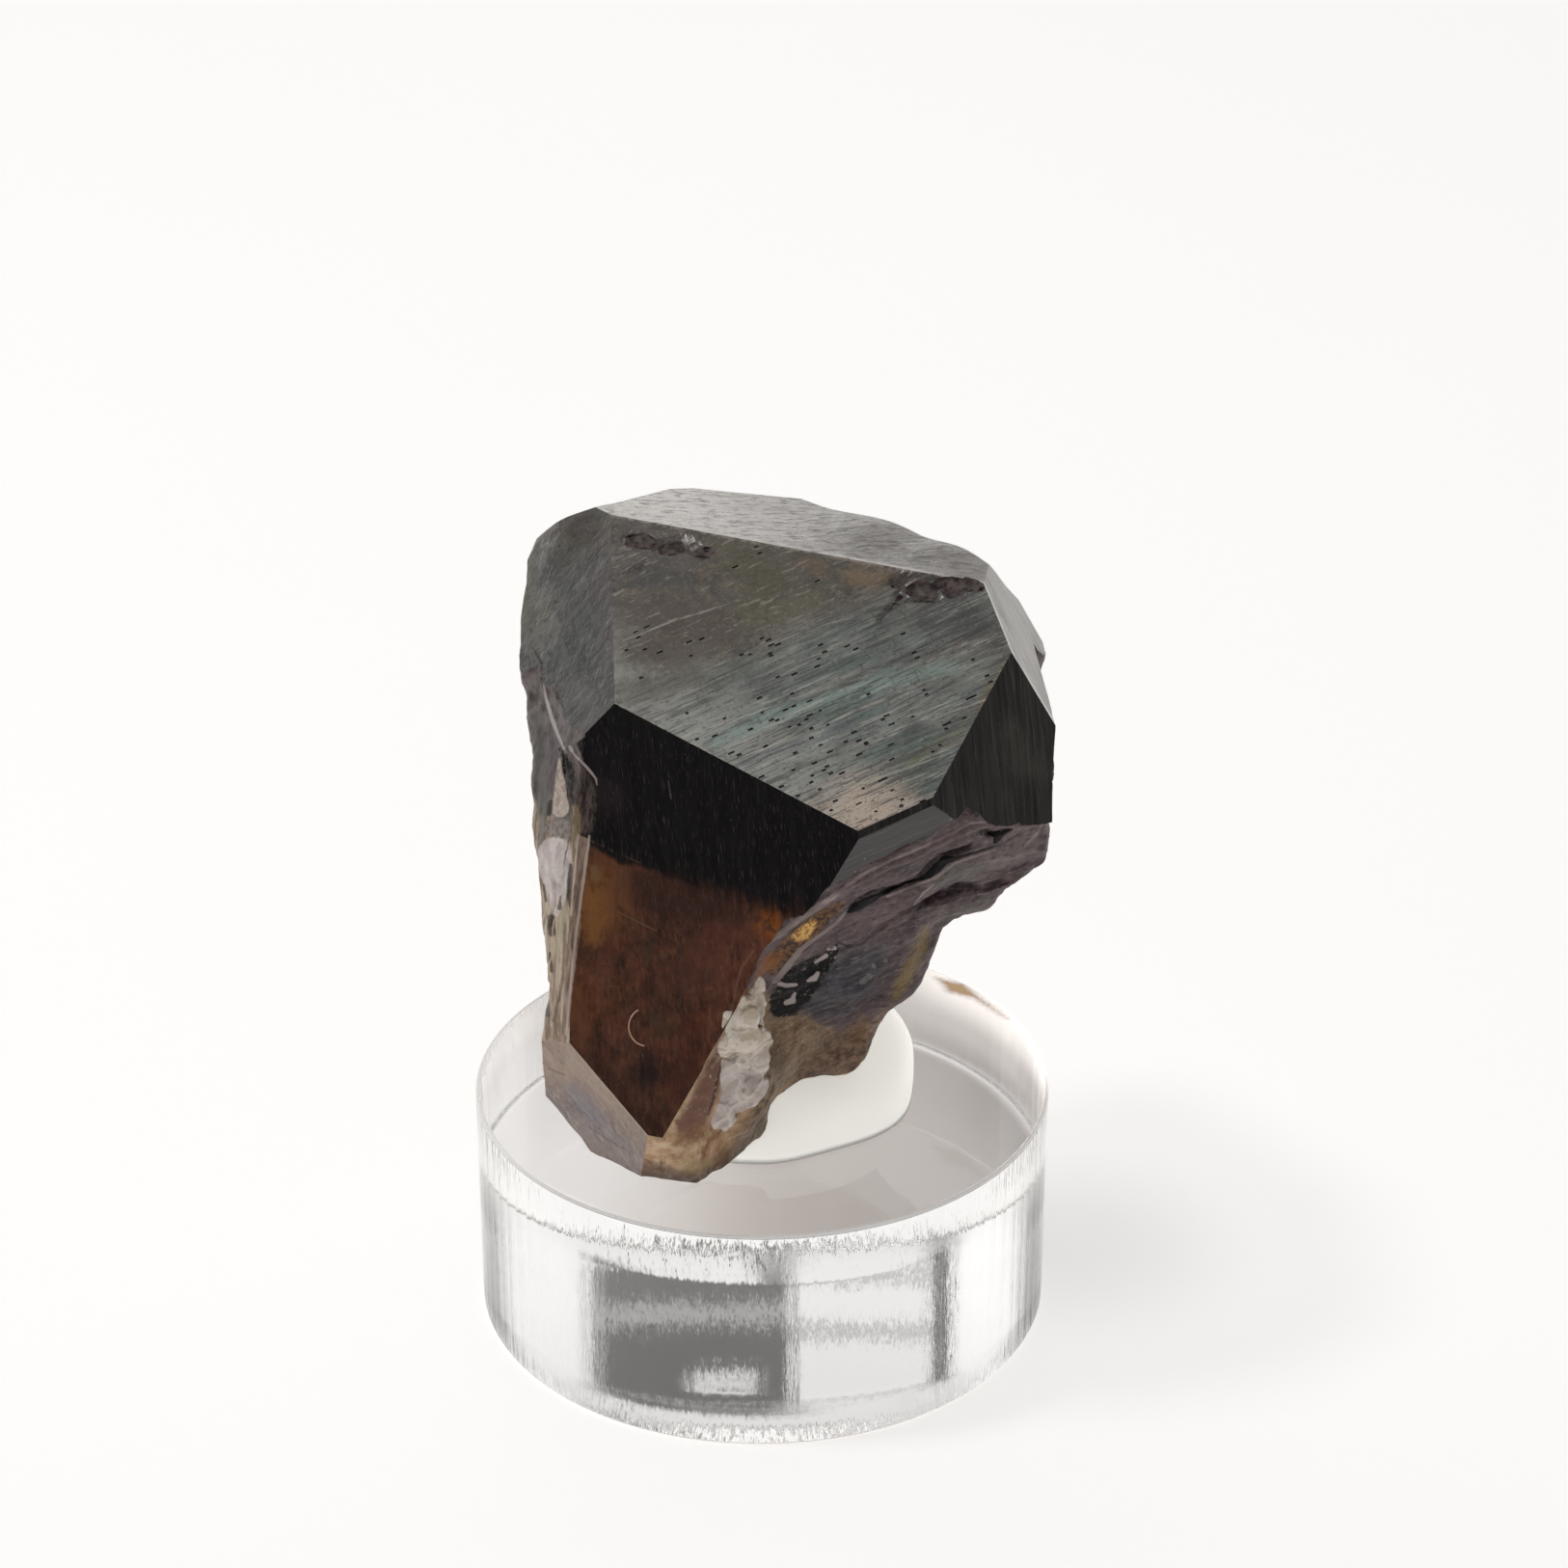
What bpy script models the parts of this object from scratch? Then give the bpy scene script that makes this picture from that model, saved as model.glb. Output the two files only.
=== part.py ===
"""Andradite garnet crystal with broken flanks, set in white putty on a clear round base."""
import math

import bmesh
import bpy
from mathutils import Quaternion, Vector, noise

# Every length below is in millimetres and every mesh is scaled to metres as it is made.
MM = 0.001
GAP = 0.3

# Clear acrylic disc that the crystal stands on
BASE_RADIUS = 12.0
BASE_HEIGHT = 10.0
BASE_SIDES = 96
BASE_EDGE_BEVEL = 0.12

# White putty between the disc and the crystal's foot
PUTTY_CENTRE = (0.15, -0.2)
PUTTY_RADIUS = 6.35
PUTTY_HEIGHT = 3.5
PUTTY_SQUARENESS = 0.62
PUTTY_BACK_RISE = 0.10
PUTTY_LUMPS = 0.35
PUTTY_CLEARANCE = 0.38

# Crystal: its middle, and the turn from crystal axes to the standing frame
CRYSTAL_CENTRE = Vector((0.5, -1.5, 23.0))
CRYSTAL_TURN = Quaternion((0.6065, 0.5868, -0.4754, 0.2486)).normalized()
BLOCK_SIZE = 42.0

# Growth faces: indices along the crystal axes (uneven numbers lean a little off the true
# face) and the distance from the crystal's middle.
GROWTH_FACES = (
    ("top front", (2.0, 1.0, 1.0), 6.76),
    ("top", (2.1, 0.98, -0.80), 10.75),
    ("front left", (1.0, 1.0, 2.0), 6.58),
    ("lower left", (-0.72, 1.06, 2.09), 11.72),
    ("front right", (2.0, -1.0, 1.0), 10.32),
    ("front", (1.0, -1.0, 2.0), 8.80),
    ("front edge", (1.0, 0.0, 1.0), 8.90),
    ("right shoulder", (1.99, -1.20, -0.77), 12.15),
    ("left shoulder", (0.93, 1.92, 1.20), 8.59),
    ("top left", (1.0, 2.0, -1.0), 14.45),
    ("back top", (1.0, 1.0, -2.0), 15.06),
    ("back right edge", (1.0, 0.0, -1.0), 12.85),
    ("back right", (1.0, -1.0, -2.0), 12.90),
    ("back left edge", (0.0, 1.0, -1.0), 15.20),
    ("back", (-1.0, 1.0, -2.0), 12.90),
    ("back left", (-1.0, 2.0, -1.0), 13.20),
)

# Broken faces in the standing frame: outward direction, distance from the crystal's middle,
# height of the relief, spacing of its points, and the direction in which its ledges run.
CROWN_BREAKS = (
    ("front break", (0.436, -0.799, -0.414), 7.17, 0.52, 0.50, (0.90, 0.37, 0.20)),
    ("right side", (0.976, 0.123, -0.177), 9.50, 0.12, 0.90, (0.10, 0.40, 0.90)),
    ("right back break", (0.812, 0.231, -0.536), 7.60, 0.50, 1.10, (0.57, -0.11, 0.81)),
    ("sole", (0.05, 0.05, -1.0), 10.35, 0.20, 1.10, (1.0, 0.2, 0.0)),
    ("back break", (-0.05, 0.78, -0.62), 10.0, 0.70, 1.10, (1.0, 0.1, 0.05)),
    ("lower left back", (-0.863, 0.335, -0.380), 8.08, 0.45, 1.10, (-0.13, 0.57, 0.81)),
    ("left foot", (-0.860, 0.200, -0.420), 8.75, 0.30, 1.10, (-0.13, 0.57, 0.81)),
    ("left back", (-0.95, 0.25, -0.23), 9.90, 0.30, 1.10, (-0.07, -0.80, -0.59)),
    ("left break", (-0.832, -0.477, 0.283), 8.30, 0.28, 0.60, (-0.05, -0.47, -0.88)),
)
ROOT_BREAKS = (
    ("flank", (0.844, -0.508, -0.170), 4.19, 0.30, 0.55, (0.2, 0.6, 0.77)),
    ("flank bevel", (0.352, -0.936, 0.023), 8.18, 0.0, 1.0, (0.0, 0.0, 1.0)),
    ("tip", (-0.388, -0.869, -0.307), 13.41, 0.0, 1.0, (0.0, 0.0, 1.0)),
    ("underside", (-0.02, -0.20, -0.98), 12.70, 0.20, 0.90, (1.0, 0.0, 0.2)),
    ("underside left", (-0.62, 0.10, -0.78), 12.75, 0.20, 0.90, (0.3, 0.9, 0.2)),
    ("root back", (-0.10, 0.85, -0.50), 2.2, 0.40, 1.10, (1.0, 0.1, 0.0)),
    ("root left", (-0.95, 0.28, 0.052), 6.80, 0.20, 0.90, (0.0, 0.24, -0.97)),
    ("left break", (-0.832, -0.477, 0.283), 8.42, 0.15, 0.60, (-0.05, -0.47, -0.88)),
    ("inside", (0.0, 0.3, 0.95), 2.0, 0.0, 1.0, (1.0, 0.0, 0.0)),
)
LEDGE_PITCH = 2.3
LEDGE_STRETCH = 0.62
LEDGE_DROP = 0.34
LUMP_SIZE = 3.4
GRAIN_SIZE = 1.2
POINT_DRIFT = 0.28

# Lump on the right shoulder, behind its bright narrow face: middle and radii
SHOULDER = ((10.0, 3.2, 28.2), (1.6, 2.2, 1.9))

# Pale mineral crust that grows over the edge of the flank: middle and radii
CRUST_LUMPS = (
    ((-0.75, -10.20, 18.5), (0.75, 0.50, 1.1)),
    ((-0.45, -9.75, 17.3), (1.00, 0.60, 1.3)),
    ((-0.75, -9.80, 16.0), (1.15, 0.60, 1.4)),
    ((-0.75, -9.40, 14.7), (1.10, 0.60, 1.2)),
    ((-1.25, -9.60, 13.8), (0.80, 0.55, 0.8)),
)
CRUST_SEED = 5

# Small chips knocked out of the edge between the top and the top front face
CHIPS = (
    ((6.3, -0.6, 32.75), (0.85, 0.65, 0.55)),
    ((7.4, -0.5, 32.85), (0.80, 0.70, 0.50)),
    ((8.2, -0.4, 32.95), (0.60, 0.55, 0.45)),
    ((5.3, -0.7, 32.55), (0.45, 0.40, 0.35)),
    ((-4.9, 3.1, 33.15), (0.70, 0.55, 0.35)),
    ((-3.6, 2.6, 33.05), (0.65, 0.45, 0.32)),
    ((-2.2, 2.3, 33.05), (0.40, 0.30, 0.25)),
)


def clear_scene():
    for item in list(bpy.data.objects):
        bpy.data.objects.remove(item, do_unlink=True)


def new_collection(name):
    group = bpy.data.collections.new(name)
    bpy.context.scene.collection.children.link(group)
    return group


def new_material(name, colour, roughness, metallic=0.0, alpha=1.0):
    material = bpy.data.materials.new(name)
    material.use_nodes = True
    shader = material.node_tree.nodes["Principled BSDF"]
    shader.inputs["Base Color"].default_value = (*colour, 1.0)
    shader.inputs["Roughness"].default_value = roughness
    shader.inputs["Metallic"].default_value = metallic
    shader.inputs["Alpha"].default_value = alpha
    material.diffuse_color = (*colour, alpha)
    return material


def new_object(name, bm, group, material=None):
    bmesh.ops.scale(bm, vec=(MM, MM, MM), verts=bm.verts)
    mesh = bpy.data.meshes.new(name)
    bm.to_mesh(mesh)
    bm.free()
    item = bpy.data.objects.new(name, mesh)
    group.objects.link(item)
    if material:
        mesh.materials.append(material)
    return item


def as_cutter(item):
    item.hide_render = True
    item.display_type = "WIRE"
    return item


def add_boolean(item, tool, operation):
    modifier = item.modifiers.new(tool.name, "BOOLEAN")
    modifier.operation = operation
    modifier.solver = "EXACT"
    modifier.object = tool


def cut_block(faces, tag_name=None, room=0.0):
    """A block cut by one plane after another; each cut face keeps its number in a layer."""
    bm = bmesh.new()
    bmesh.ops.create_cube(bm, size=BLOCK_SIZE)
    bmesh.ops.translate(bm, vec=CRYSTAL_CENTRE, verts=bm.verts)
    tag = bm.faces.layers.int.new(tag_name) if tag_name else None
    for number, (normal, distance) in enumerate(faces, start=1):
        normal = Vector(normal).normalized()
        cut = bmesh.ops.bisect_plane(
            bm,
            geom=bm.verts[:] + bm.edges[:] + bm.faces[:],
            plane_co=CRYSTAL_CENTRE + normal * (distance + room),
            plane_no=normal,
            clear_outer=True,
        )
        rim = [part for part in cut["geom_cut"] if isinstance(part, bmesh.types.BMEdge)]
        lid = bmesh.ops.contextual_create(bm, geom=rim)["faces"]
        if tag:
            for face in lid:
                face[tag] = number
    bmesh.ops.recalc_face_normals(bm, faces=bm.faces[:])
    return bm


def ledge_relief(point, direction, along, height):
    """Height of a broken surface: ledges that rise slowly and drop fast, lumps and grain."""
    along = along.normalized()
    across = along.cross(direction).normalized()
    drawn = point - along * point.dot(along) * LEDGE_STRETCH
    ramp = point.dot(across) / LEDGE_PITCH + 1.2 * noise.noise(drawn / LUMP_SIZE)
    number = math.floor(ramp)
    ledge = 0.75 + noise.noise(Vector((number * 5.3, 2.7, 0.4)))
    rise = (ramp - number) / (1.0 - LEDGE_DROP)
    if rise > 1.0:
        rise = (number + 1.0 - ramp) / LEDGE_DROP
    lump = noise.noise(drawn / LUMP_SIZE + Vector((7.0, 3.0, 1.0)))
    grain = noise.noise(point / GRAIN_SIZE + Vector((1.0, 9.0, 4.0)))
    return height * (ledge * (rise - 0.5) + 0.9 * lump + 0.3 * grain)


def broken_block(breaks, tag_name):
    """A block bounded by broken faces, each one roughened along its own direction."""
    bm = cut_block([(normal, distance) for _, normal, distance, *_ in breaks], tag_name)
    tag = bm.faces.layers.int.get(tag_name)
    bmesh.ops.triangulate(bm, faces=bm.faces[:])
    while True:
        long_edges = []
        for edge in bm.edges:
            steps = [breaks[f[tag] - 1][4] for f in edge.link_faces if f[tag]]
            if steps and edge.calc_length() > 1.45 * min(steps):
                long_edges.append(edge)
        if not long_edges:
            break
        bmesh.ops.subdivide_edges(bm, edges=long_edges, cuts=1)
        bmesh.ops.triangulate(bm, faces=[f for f in bm.faces if len(f.verts) > 3])
    shifts = []
    for vert in bm.verts:
        shift = Vector()
        numbers = {f[tag] for f in vert.link_faces}
        for number in numbers - {0}:
            _, normal, _, height, spacing, along = breaks[number - 1]
            direction = Vector(normal).normalized()
            shift += direction * ledge_relief(vert.co, direction, Vector(along), height)
            if height and len(numbers) == 1:
                drift = noise.noise_vector(vert.co * 2.9) * spacing * POINT_DRIFT
                shift += drift - direction * drift.dot(direction)
        shifts.append(shift)
    for vert, shift in zip(bm.verts, shifts):
        vert.co += shift
    return bm


def lumpy_ball(centre, radii, seed, wobble=0.22, detail=2):
    """A ball stretched to its radii and pushed in and out by noise."""
    bm = bmesh.new()
    bmesh.ops.create_icosphere(bm, subdivisions=detail, radius=1.0)
    for vert in bm.verts:
        swell = 1.0 + wobble * noise.noise(vert.co * 1.7 + Vector((seed * 3.1, seed * 1.7, 0.0)))
        vert.co = Vector((vert.co.x * radii[0], vert.co.y * radii[1], vert.co.z * radii[2])) * swell
        vert.co += Vector(centre)
    return bm


def build_base(group, material):
    bm = bmesh.new()
    bmesh.ops.create_cone(
        bm,
        cap_ends=True,
        segments=BASE_SIDES,
        radius1=BASE_RADIUS,
        radius2=BASE_RADIUS,
        depth=BASE_HEIGHT,
    )
    bmesh.ops.translate(bm, vec=(0.0, 0.0, BASE_HEIGHT / 2), verts=bm.verts)
    base = new_object("acrylic_base", bm, group, material)
    bevel = base.modifiers.new("Edge", "BEVEL")
    bevel.width = BASE_EDGE_BEVEL * MM
    bevel.segments = 2
    bevel.limit_method = "ANGLE"
    base.data.shade_smooth()
    base.data.set_sharp_from_angle(angle=0.6)
    return base


def growth_planes():
    return [(CRYSTAL_TURN @ Vector(index), distance) for _, index, distance in GROWTH_FACES]


def build_crystal(group, cutters, material):
    crystal = new_object("garnet_crystal", broken_block(CROWN_BREAKS, "crown"), group, material)
    root = as_cutter(new_object("crystal_root", broken_block(ROOT_BREAKS, "root"), cutters))
    form = as_cutter(new_object("growth_form", cut_block(growth_planes()), cutters))
    lump = lumpy_ball(*SHOULDER, seed=3)
    shoulder = as_cutter(new_object("shoulder_lump", lump, cutters))
    add_boolean(crystal, root, "UNION")
    add_boolean(crystal, shoulder, "UNION")
    add_boolean(crystal, form, "INTERSECT")
    for number, (centre, radii) in enumerate(CHIPS):
        chip = lumpy_ball(centre, radii, number + 11, wobble=0.5)
        tool = as_cutter(new_object(f"chip_{number}", chip, cutters))
        add_boolean(crystal, tool, "DIFFERENCE")
    for number, (centre, radii) in enumerate(CRUST_LUMPS):
        lump = lumpy_ball(centre, radii, number + CRUST_SEED, wobble=0.35)
        tool = as_cutter(new_object(f"crust_{number}", lump, cutters))
        add_boolean(crystal, tool, "UNION")
    return crystal


def superellipse(value, power):
    size = abs(value) ** power
    return size if value >= 0.0 else -size


def build_putty(group, cutters, material):
    """A hand-pressed bun with a flat base, hollowed where the crystal sits in it."""
    bm = bmesh.new()
    bmesh.ops.create_uvsphere(bm, u_segments=48, v_segments=28, radius=1.0)
    for vert in bm.verts:
        level = superellipse(vert.co.z, PUTTY_SQUARENESS)
        flat = Vector((vert.co.x, vert.co.y, 0.0))
        spread = max(1.0 - abs(level) ** (2.0 / PUTTY_SQUARENESS), 0.0) ** (PUTTY_SQUARENESS / 2)
        if flat.length > 1e-6:
            flat = flat.normalized() * spread
        lump = 1.0 + PUTTY_LUMPS / PUTTY_RADIUS * noise.noise(vert.co * 1.6 + Vector((2.0, 5.0, 8.0)))
        rise = PUTTY_HEIGHT * level * (1.0 + PUTTY_BACK_RISE * flat.y)
        vert.co = Vector(
            (
                PUTTY_CENTRE[0] + flat.x * PUTTY_RADIUS * lump,
                PUTTY_CENTRE[1] + flat.y * PUTTY_RADIUS * lump,
                BASE_HEIGHT + rise * lump,
            )
        )
    cut = bmesh.ops.bisect_plane(
        bm,
        geom=bm.verts[:] + bm.edges[:] + bm.faces[:],
        plane_co=(0.0, 0.0, BASE_HEIGHT + GAP),
        plane_no=(0.0, 0.0, -1.0),
        clear_outer=True,
    )
    rim = [part for part in cut["geom_cut"] if isinstance(part, bmesh.types.BMEdge)]
    bmesh.ops.contextual_create(bm, geom=rim)
    bmesh.ops.recalc_face_normals(bm, faces=bm.faces[:])
    putty = new_object("mounting_putty", bm, group, material)
    for name, breaks in (("crown_room", CROWN_BREAKS), ("root_room", ROOT_BREAKS)):
        planes = [(normal, distance + 0.6 * height) for _, normal, distance, height, *_ in breaks]
        room = cut_block(growth_planes() + planes, room=PUTTY_CLEARANCE)
        add_boolean(putty, as_cutter(new_object(name, room, cutters)), "DIFFERENCE")
    putty.data.shade_smooth()
    putty.data.set_sharp_from_angle(angle=0.7)
    return putty


def main():
    clear_scene()
    parts = new_collection("andradite_garnet_on_base")
    cutters = new_collection("cutters")
    garnet = new_material("garnet", (0.055, 0.050, 0.040), 0.22)
    putty_white = new_material("putty_white", (0.82, 0.81, 0.77), 0.42)
    acrylic = new_material("clear_acrylic", (0.93, 0.94, 0.94), 0.05, alpha=0.35)
    build_base(parts, acrylic)
    build_crystal(parts, cutters, garnet)
    build_putty(parts, cutters, putty_white)


main()
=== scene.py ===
import math
import random

import bmesh
import bpy
from mathutils import Matrix, Quaternion, Vector, noise
from mathutils.bvhtree import BVHTree


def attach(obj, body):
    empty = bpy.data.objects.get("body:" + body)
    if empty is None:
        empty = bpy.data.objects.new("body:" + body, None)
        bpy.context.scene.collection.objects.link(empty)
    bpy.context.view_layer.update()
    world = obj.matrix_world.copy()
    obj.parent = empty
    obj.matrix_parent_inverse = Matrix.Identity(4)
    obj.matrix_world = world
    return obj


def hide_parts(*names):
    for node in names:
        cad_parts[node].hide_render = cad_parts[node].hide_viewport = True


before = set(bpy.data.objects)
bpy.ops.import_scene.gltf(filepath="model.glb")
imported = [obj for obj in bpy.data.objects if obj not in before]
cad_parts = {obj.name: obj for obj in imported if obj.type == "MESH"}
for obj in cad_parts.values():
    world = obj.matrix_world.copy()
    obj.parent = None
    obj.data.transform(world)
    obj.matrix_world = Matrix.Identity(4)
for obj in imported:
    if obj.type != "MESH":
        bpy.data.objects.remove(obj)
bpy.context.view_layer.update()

# Lengths in this script are in millimetres; meshes are scaled to metres as they are finished.
MM = 0.001

# Crystal: its middle, the turn of its axes, and its growth faces
CRYSTAL_CENTRE = Vector((0.5, -1.5, 23.0))
CRYSTAL_TURN = Quaternion((0.6065, 0.5868, -0.4754, 0.2486)).normalized()
LONG_STREAK = CRYSTAL_TURN @ Vector((1.0, -1.0, -1.0)).normalized()
STEEP_STREAK = CRYSTAL_TURN @ Vector((1.0, 1.0, -1.0)).normalized()
SIDE_STREAK = CRYSTAL_TURN @ Vector((1.0, -1.0, 1.0)).normalized()

# Growth faces: finish, indices along the crystal axes, direction of the striations, spacing
# of the striations and of the cuts across them, and height of the striations
GROWTH_FACES = {
    "top front": ("crown_top", (2.0, 1.0, 1.0), LONG_STREAK, 0.11, 0.19, 0.008),
    "top": ("roof", (2.1, 0.98, -0.80), LONG_STREAK, 0.25, 0.45, 0.008),
    "front left": ("window", (1.0, 1.0, 2.0), STEEP_STREAK, 0.12, 0.60, 0.004),
    "lower left": ("keel", (-0.72, 1.06, 2.09), STEEP_STREAK, 0.45, 0.60, 0.030),
    "front right": ("dark_side", (2.0, -1.0, 1.0), STEEP_STREAK, 0.15, 0.80, 0.008),
    "front": ("narrow_front", (1.0, -1.0, 2.0), LONG_STREAK, 0.15, 0.60, 0.012),
    "front edge": ("dark_side", (1.0, 0.0, 1.0), LONG_STREAK, 0.30, 1.50, 0.0),
    "right shoulder": ("pale_shoulder", (1.99, -1.20, -0.77), STEEP_STREAK, 0.30, 0.80, 0.010),
    "left shoulder": ("mottled_side", (0.93, 1.92, 1.20), LONG_STREAK, 0.35, 0.60, 0.009),
    "top left": ("mottled_side", (1.0, 2.0, -1.0), LONG_STREAK, 0.45, 0.90, 0.015),
    "back top": ("crown_back", (1.0, 1.0, -2.0), STEEP_STREAK, 0.22, 0.90, 0.012),
    "back right edge": ("crown_back", (1.0, 0.0, -1.0), SIDE_STREAK, 0.30, 0.90, 0.010),
    "back right": ("crown_back", (1.0, -1.0, -2.0), SIDE_STREAK, 0.22, 0.90, 0.012),
    "back left edge": ("crown_back", (0.0, 1.0, -1.0), LONG_STREAK, 0.30, 0.90, 0.010),
    "back": ("crown_back", (-1.0, 1.0, -2.0), SIDE_STREAK, 0.22, 0.90, 0.012),
    "back left": ("mottled_side", (-1.0, 2.0, -1.0), SIDE_STREAK, 0.30, 0.90, 0.012),
}

# Distance of each growth face from the crystal's middle
FACE_DISTANCE = {
    "top front": 6.76, "top": 10.75, "front left": 6.58, "lower left": 11.72, "front right": 10.32,
    "front": 8.80, "front edge": 8.90, "right shoulder": 12.15, "left shoulder": 8.59,
    "top left": 14.45, "back top": 15.06, "back right edge": 12.85, "back right": 12.90,
    "back left edge": 15.20, "back": 12.90, "back left": 13.20,
}

# Outward directions of broken sides, and the direction up the crown across its striations
FRONT_BREAK = Vector((0.436, -0.799, -0.414)).normalized()
LEFT_BREAK = Vector((-0.832, -0.477, 0.283)).normalized()
TIP_CUT = Vector((-0.388, -0.869, -0.307)).normalized()
FLANK_BEVEL = Vector((0.352, -0.936, 0.023)).normalized()
UP_THE_CROWN = (-0.406, 0.804, 0.436)

# Camera, its distance to the marks on the crystal, and the width that a mark gets for each pixel
CAMERA_PLACE = Vector((0.92, -138.9, 94.0))
CAMERA_TILT = math.radians(63.2)
FOCAL_PIXELS = 4000.0
PICTURE_SIZE = 1626.0
MARK_DISTANCE = 151.0
PIXEL = 1.0 / 24.7

# Disc and putty: the putty is a flat bun that is cut off just over the disc
DISC_HEIGHT = 10.0
PUTTY_MIDDLE = Vector((0.15, -0.2, DISC_HEIGHT))
PUTTY_RADIUS = 6.35
PUTTY_RISE = 3.5
PUTTY_LUMPS = 0.35
PUTTY_SQUARE = 0.62
PUTTY_UNDERSIDE = 10.01

# Light
OVERHEAD_LIGHT = 0.5
LOW_LIGHT = 1.75
KEY_POWER = 0.25
KEY_PLACE = (-0.16, -0.02, 0.34)
BACKGROUND_LIGHT = 0.95
FLANK_GLOW = 0.10


def tone(red, green, blue):
    """Linear colour of an 8 bit display colour."""
    linear = []
    for level in (red, green, blue):
        share = level / 255.0
        linear.append(share / 12.92 if share <= 0.04045 else ((share + 0.055) / 1.055) ** 2.4)
    return (*linear, 1.0)


def sight(across, down):
    """Direction in which the camera sees a pixel of the photograph."""
    middle = PICTURE_SIZE / 2
    ray = Vector((across - middle, middle - down, -FOCAL_PIXELS))
    return (Matrix.Rotation(CAMERA_TILT, 3, "X") @ ray).normalized()


def seen(*chain):
    """Points of a chain given in pixels with half widths, near the crystal's distance."""
    places = []
    for across, down, width in chain:
        places.append((*(CAMERA_PLACE + sight(across, down) * MARK_DISTANCE), width * PIXEL))
    return tuple(places)


class Nodes:
    """Makes and links the nodes of one shader tree."""

    def __init__(self, tree):
        self.tree = tree

    def node(self, kind, **settings):
        """A new node with the given settings."""
        made = self.tree.nodes.new(kind)
        for name, value in settings.items():
            setattr(made, name, value)
        return made

    def feed(self, socket, value):
        """Links a socket to another one, or sets its value."""
        if isinstance(value, bpy.types.NodeSocket):
            self.tree.links.new(value, socket)
        else:
            socket.default_value = value

    def math(self, operation, *values):
        """The result of one operation on values or sockets."""
        made = self.node("ShaderNodeMath", operation=operation)
        for socket, value in zip(made.inputs, values):
            self.feed(socket, value)
        return made.outputs[0]

    def step(self, value, low, high, bottom=0.0, top=1.0):
        """Runs smoothly from bottom to top while the value goes from low to high."""
        made = self.node("ShaderNodeMapRange", interpolation_type="SMOOTHSTEP")
        for name, number in (
            ("Value", value), ("From Min", low), ("From Max", high), ("To Min", bottom), ("To Max", top),
        ):
            self.feed(made.inputs[name], number)
        return made.outputs["Result"]

    def product(self, *values):
        """All the values multiplied."""
        total = values[0]
        for value in values[1:]:
            total = self.math("MULTIPLY", total, value)
        return total


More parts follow.
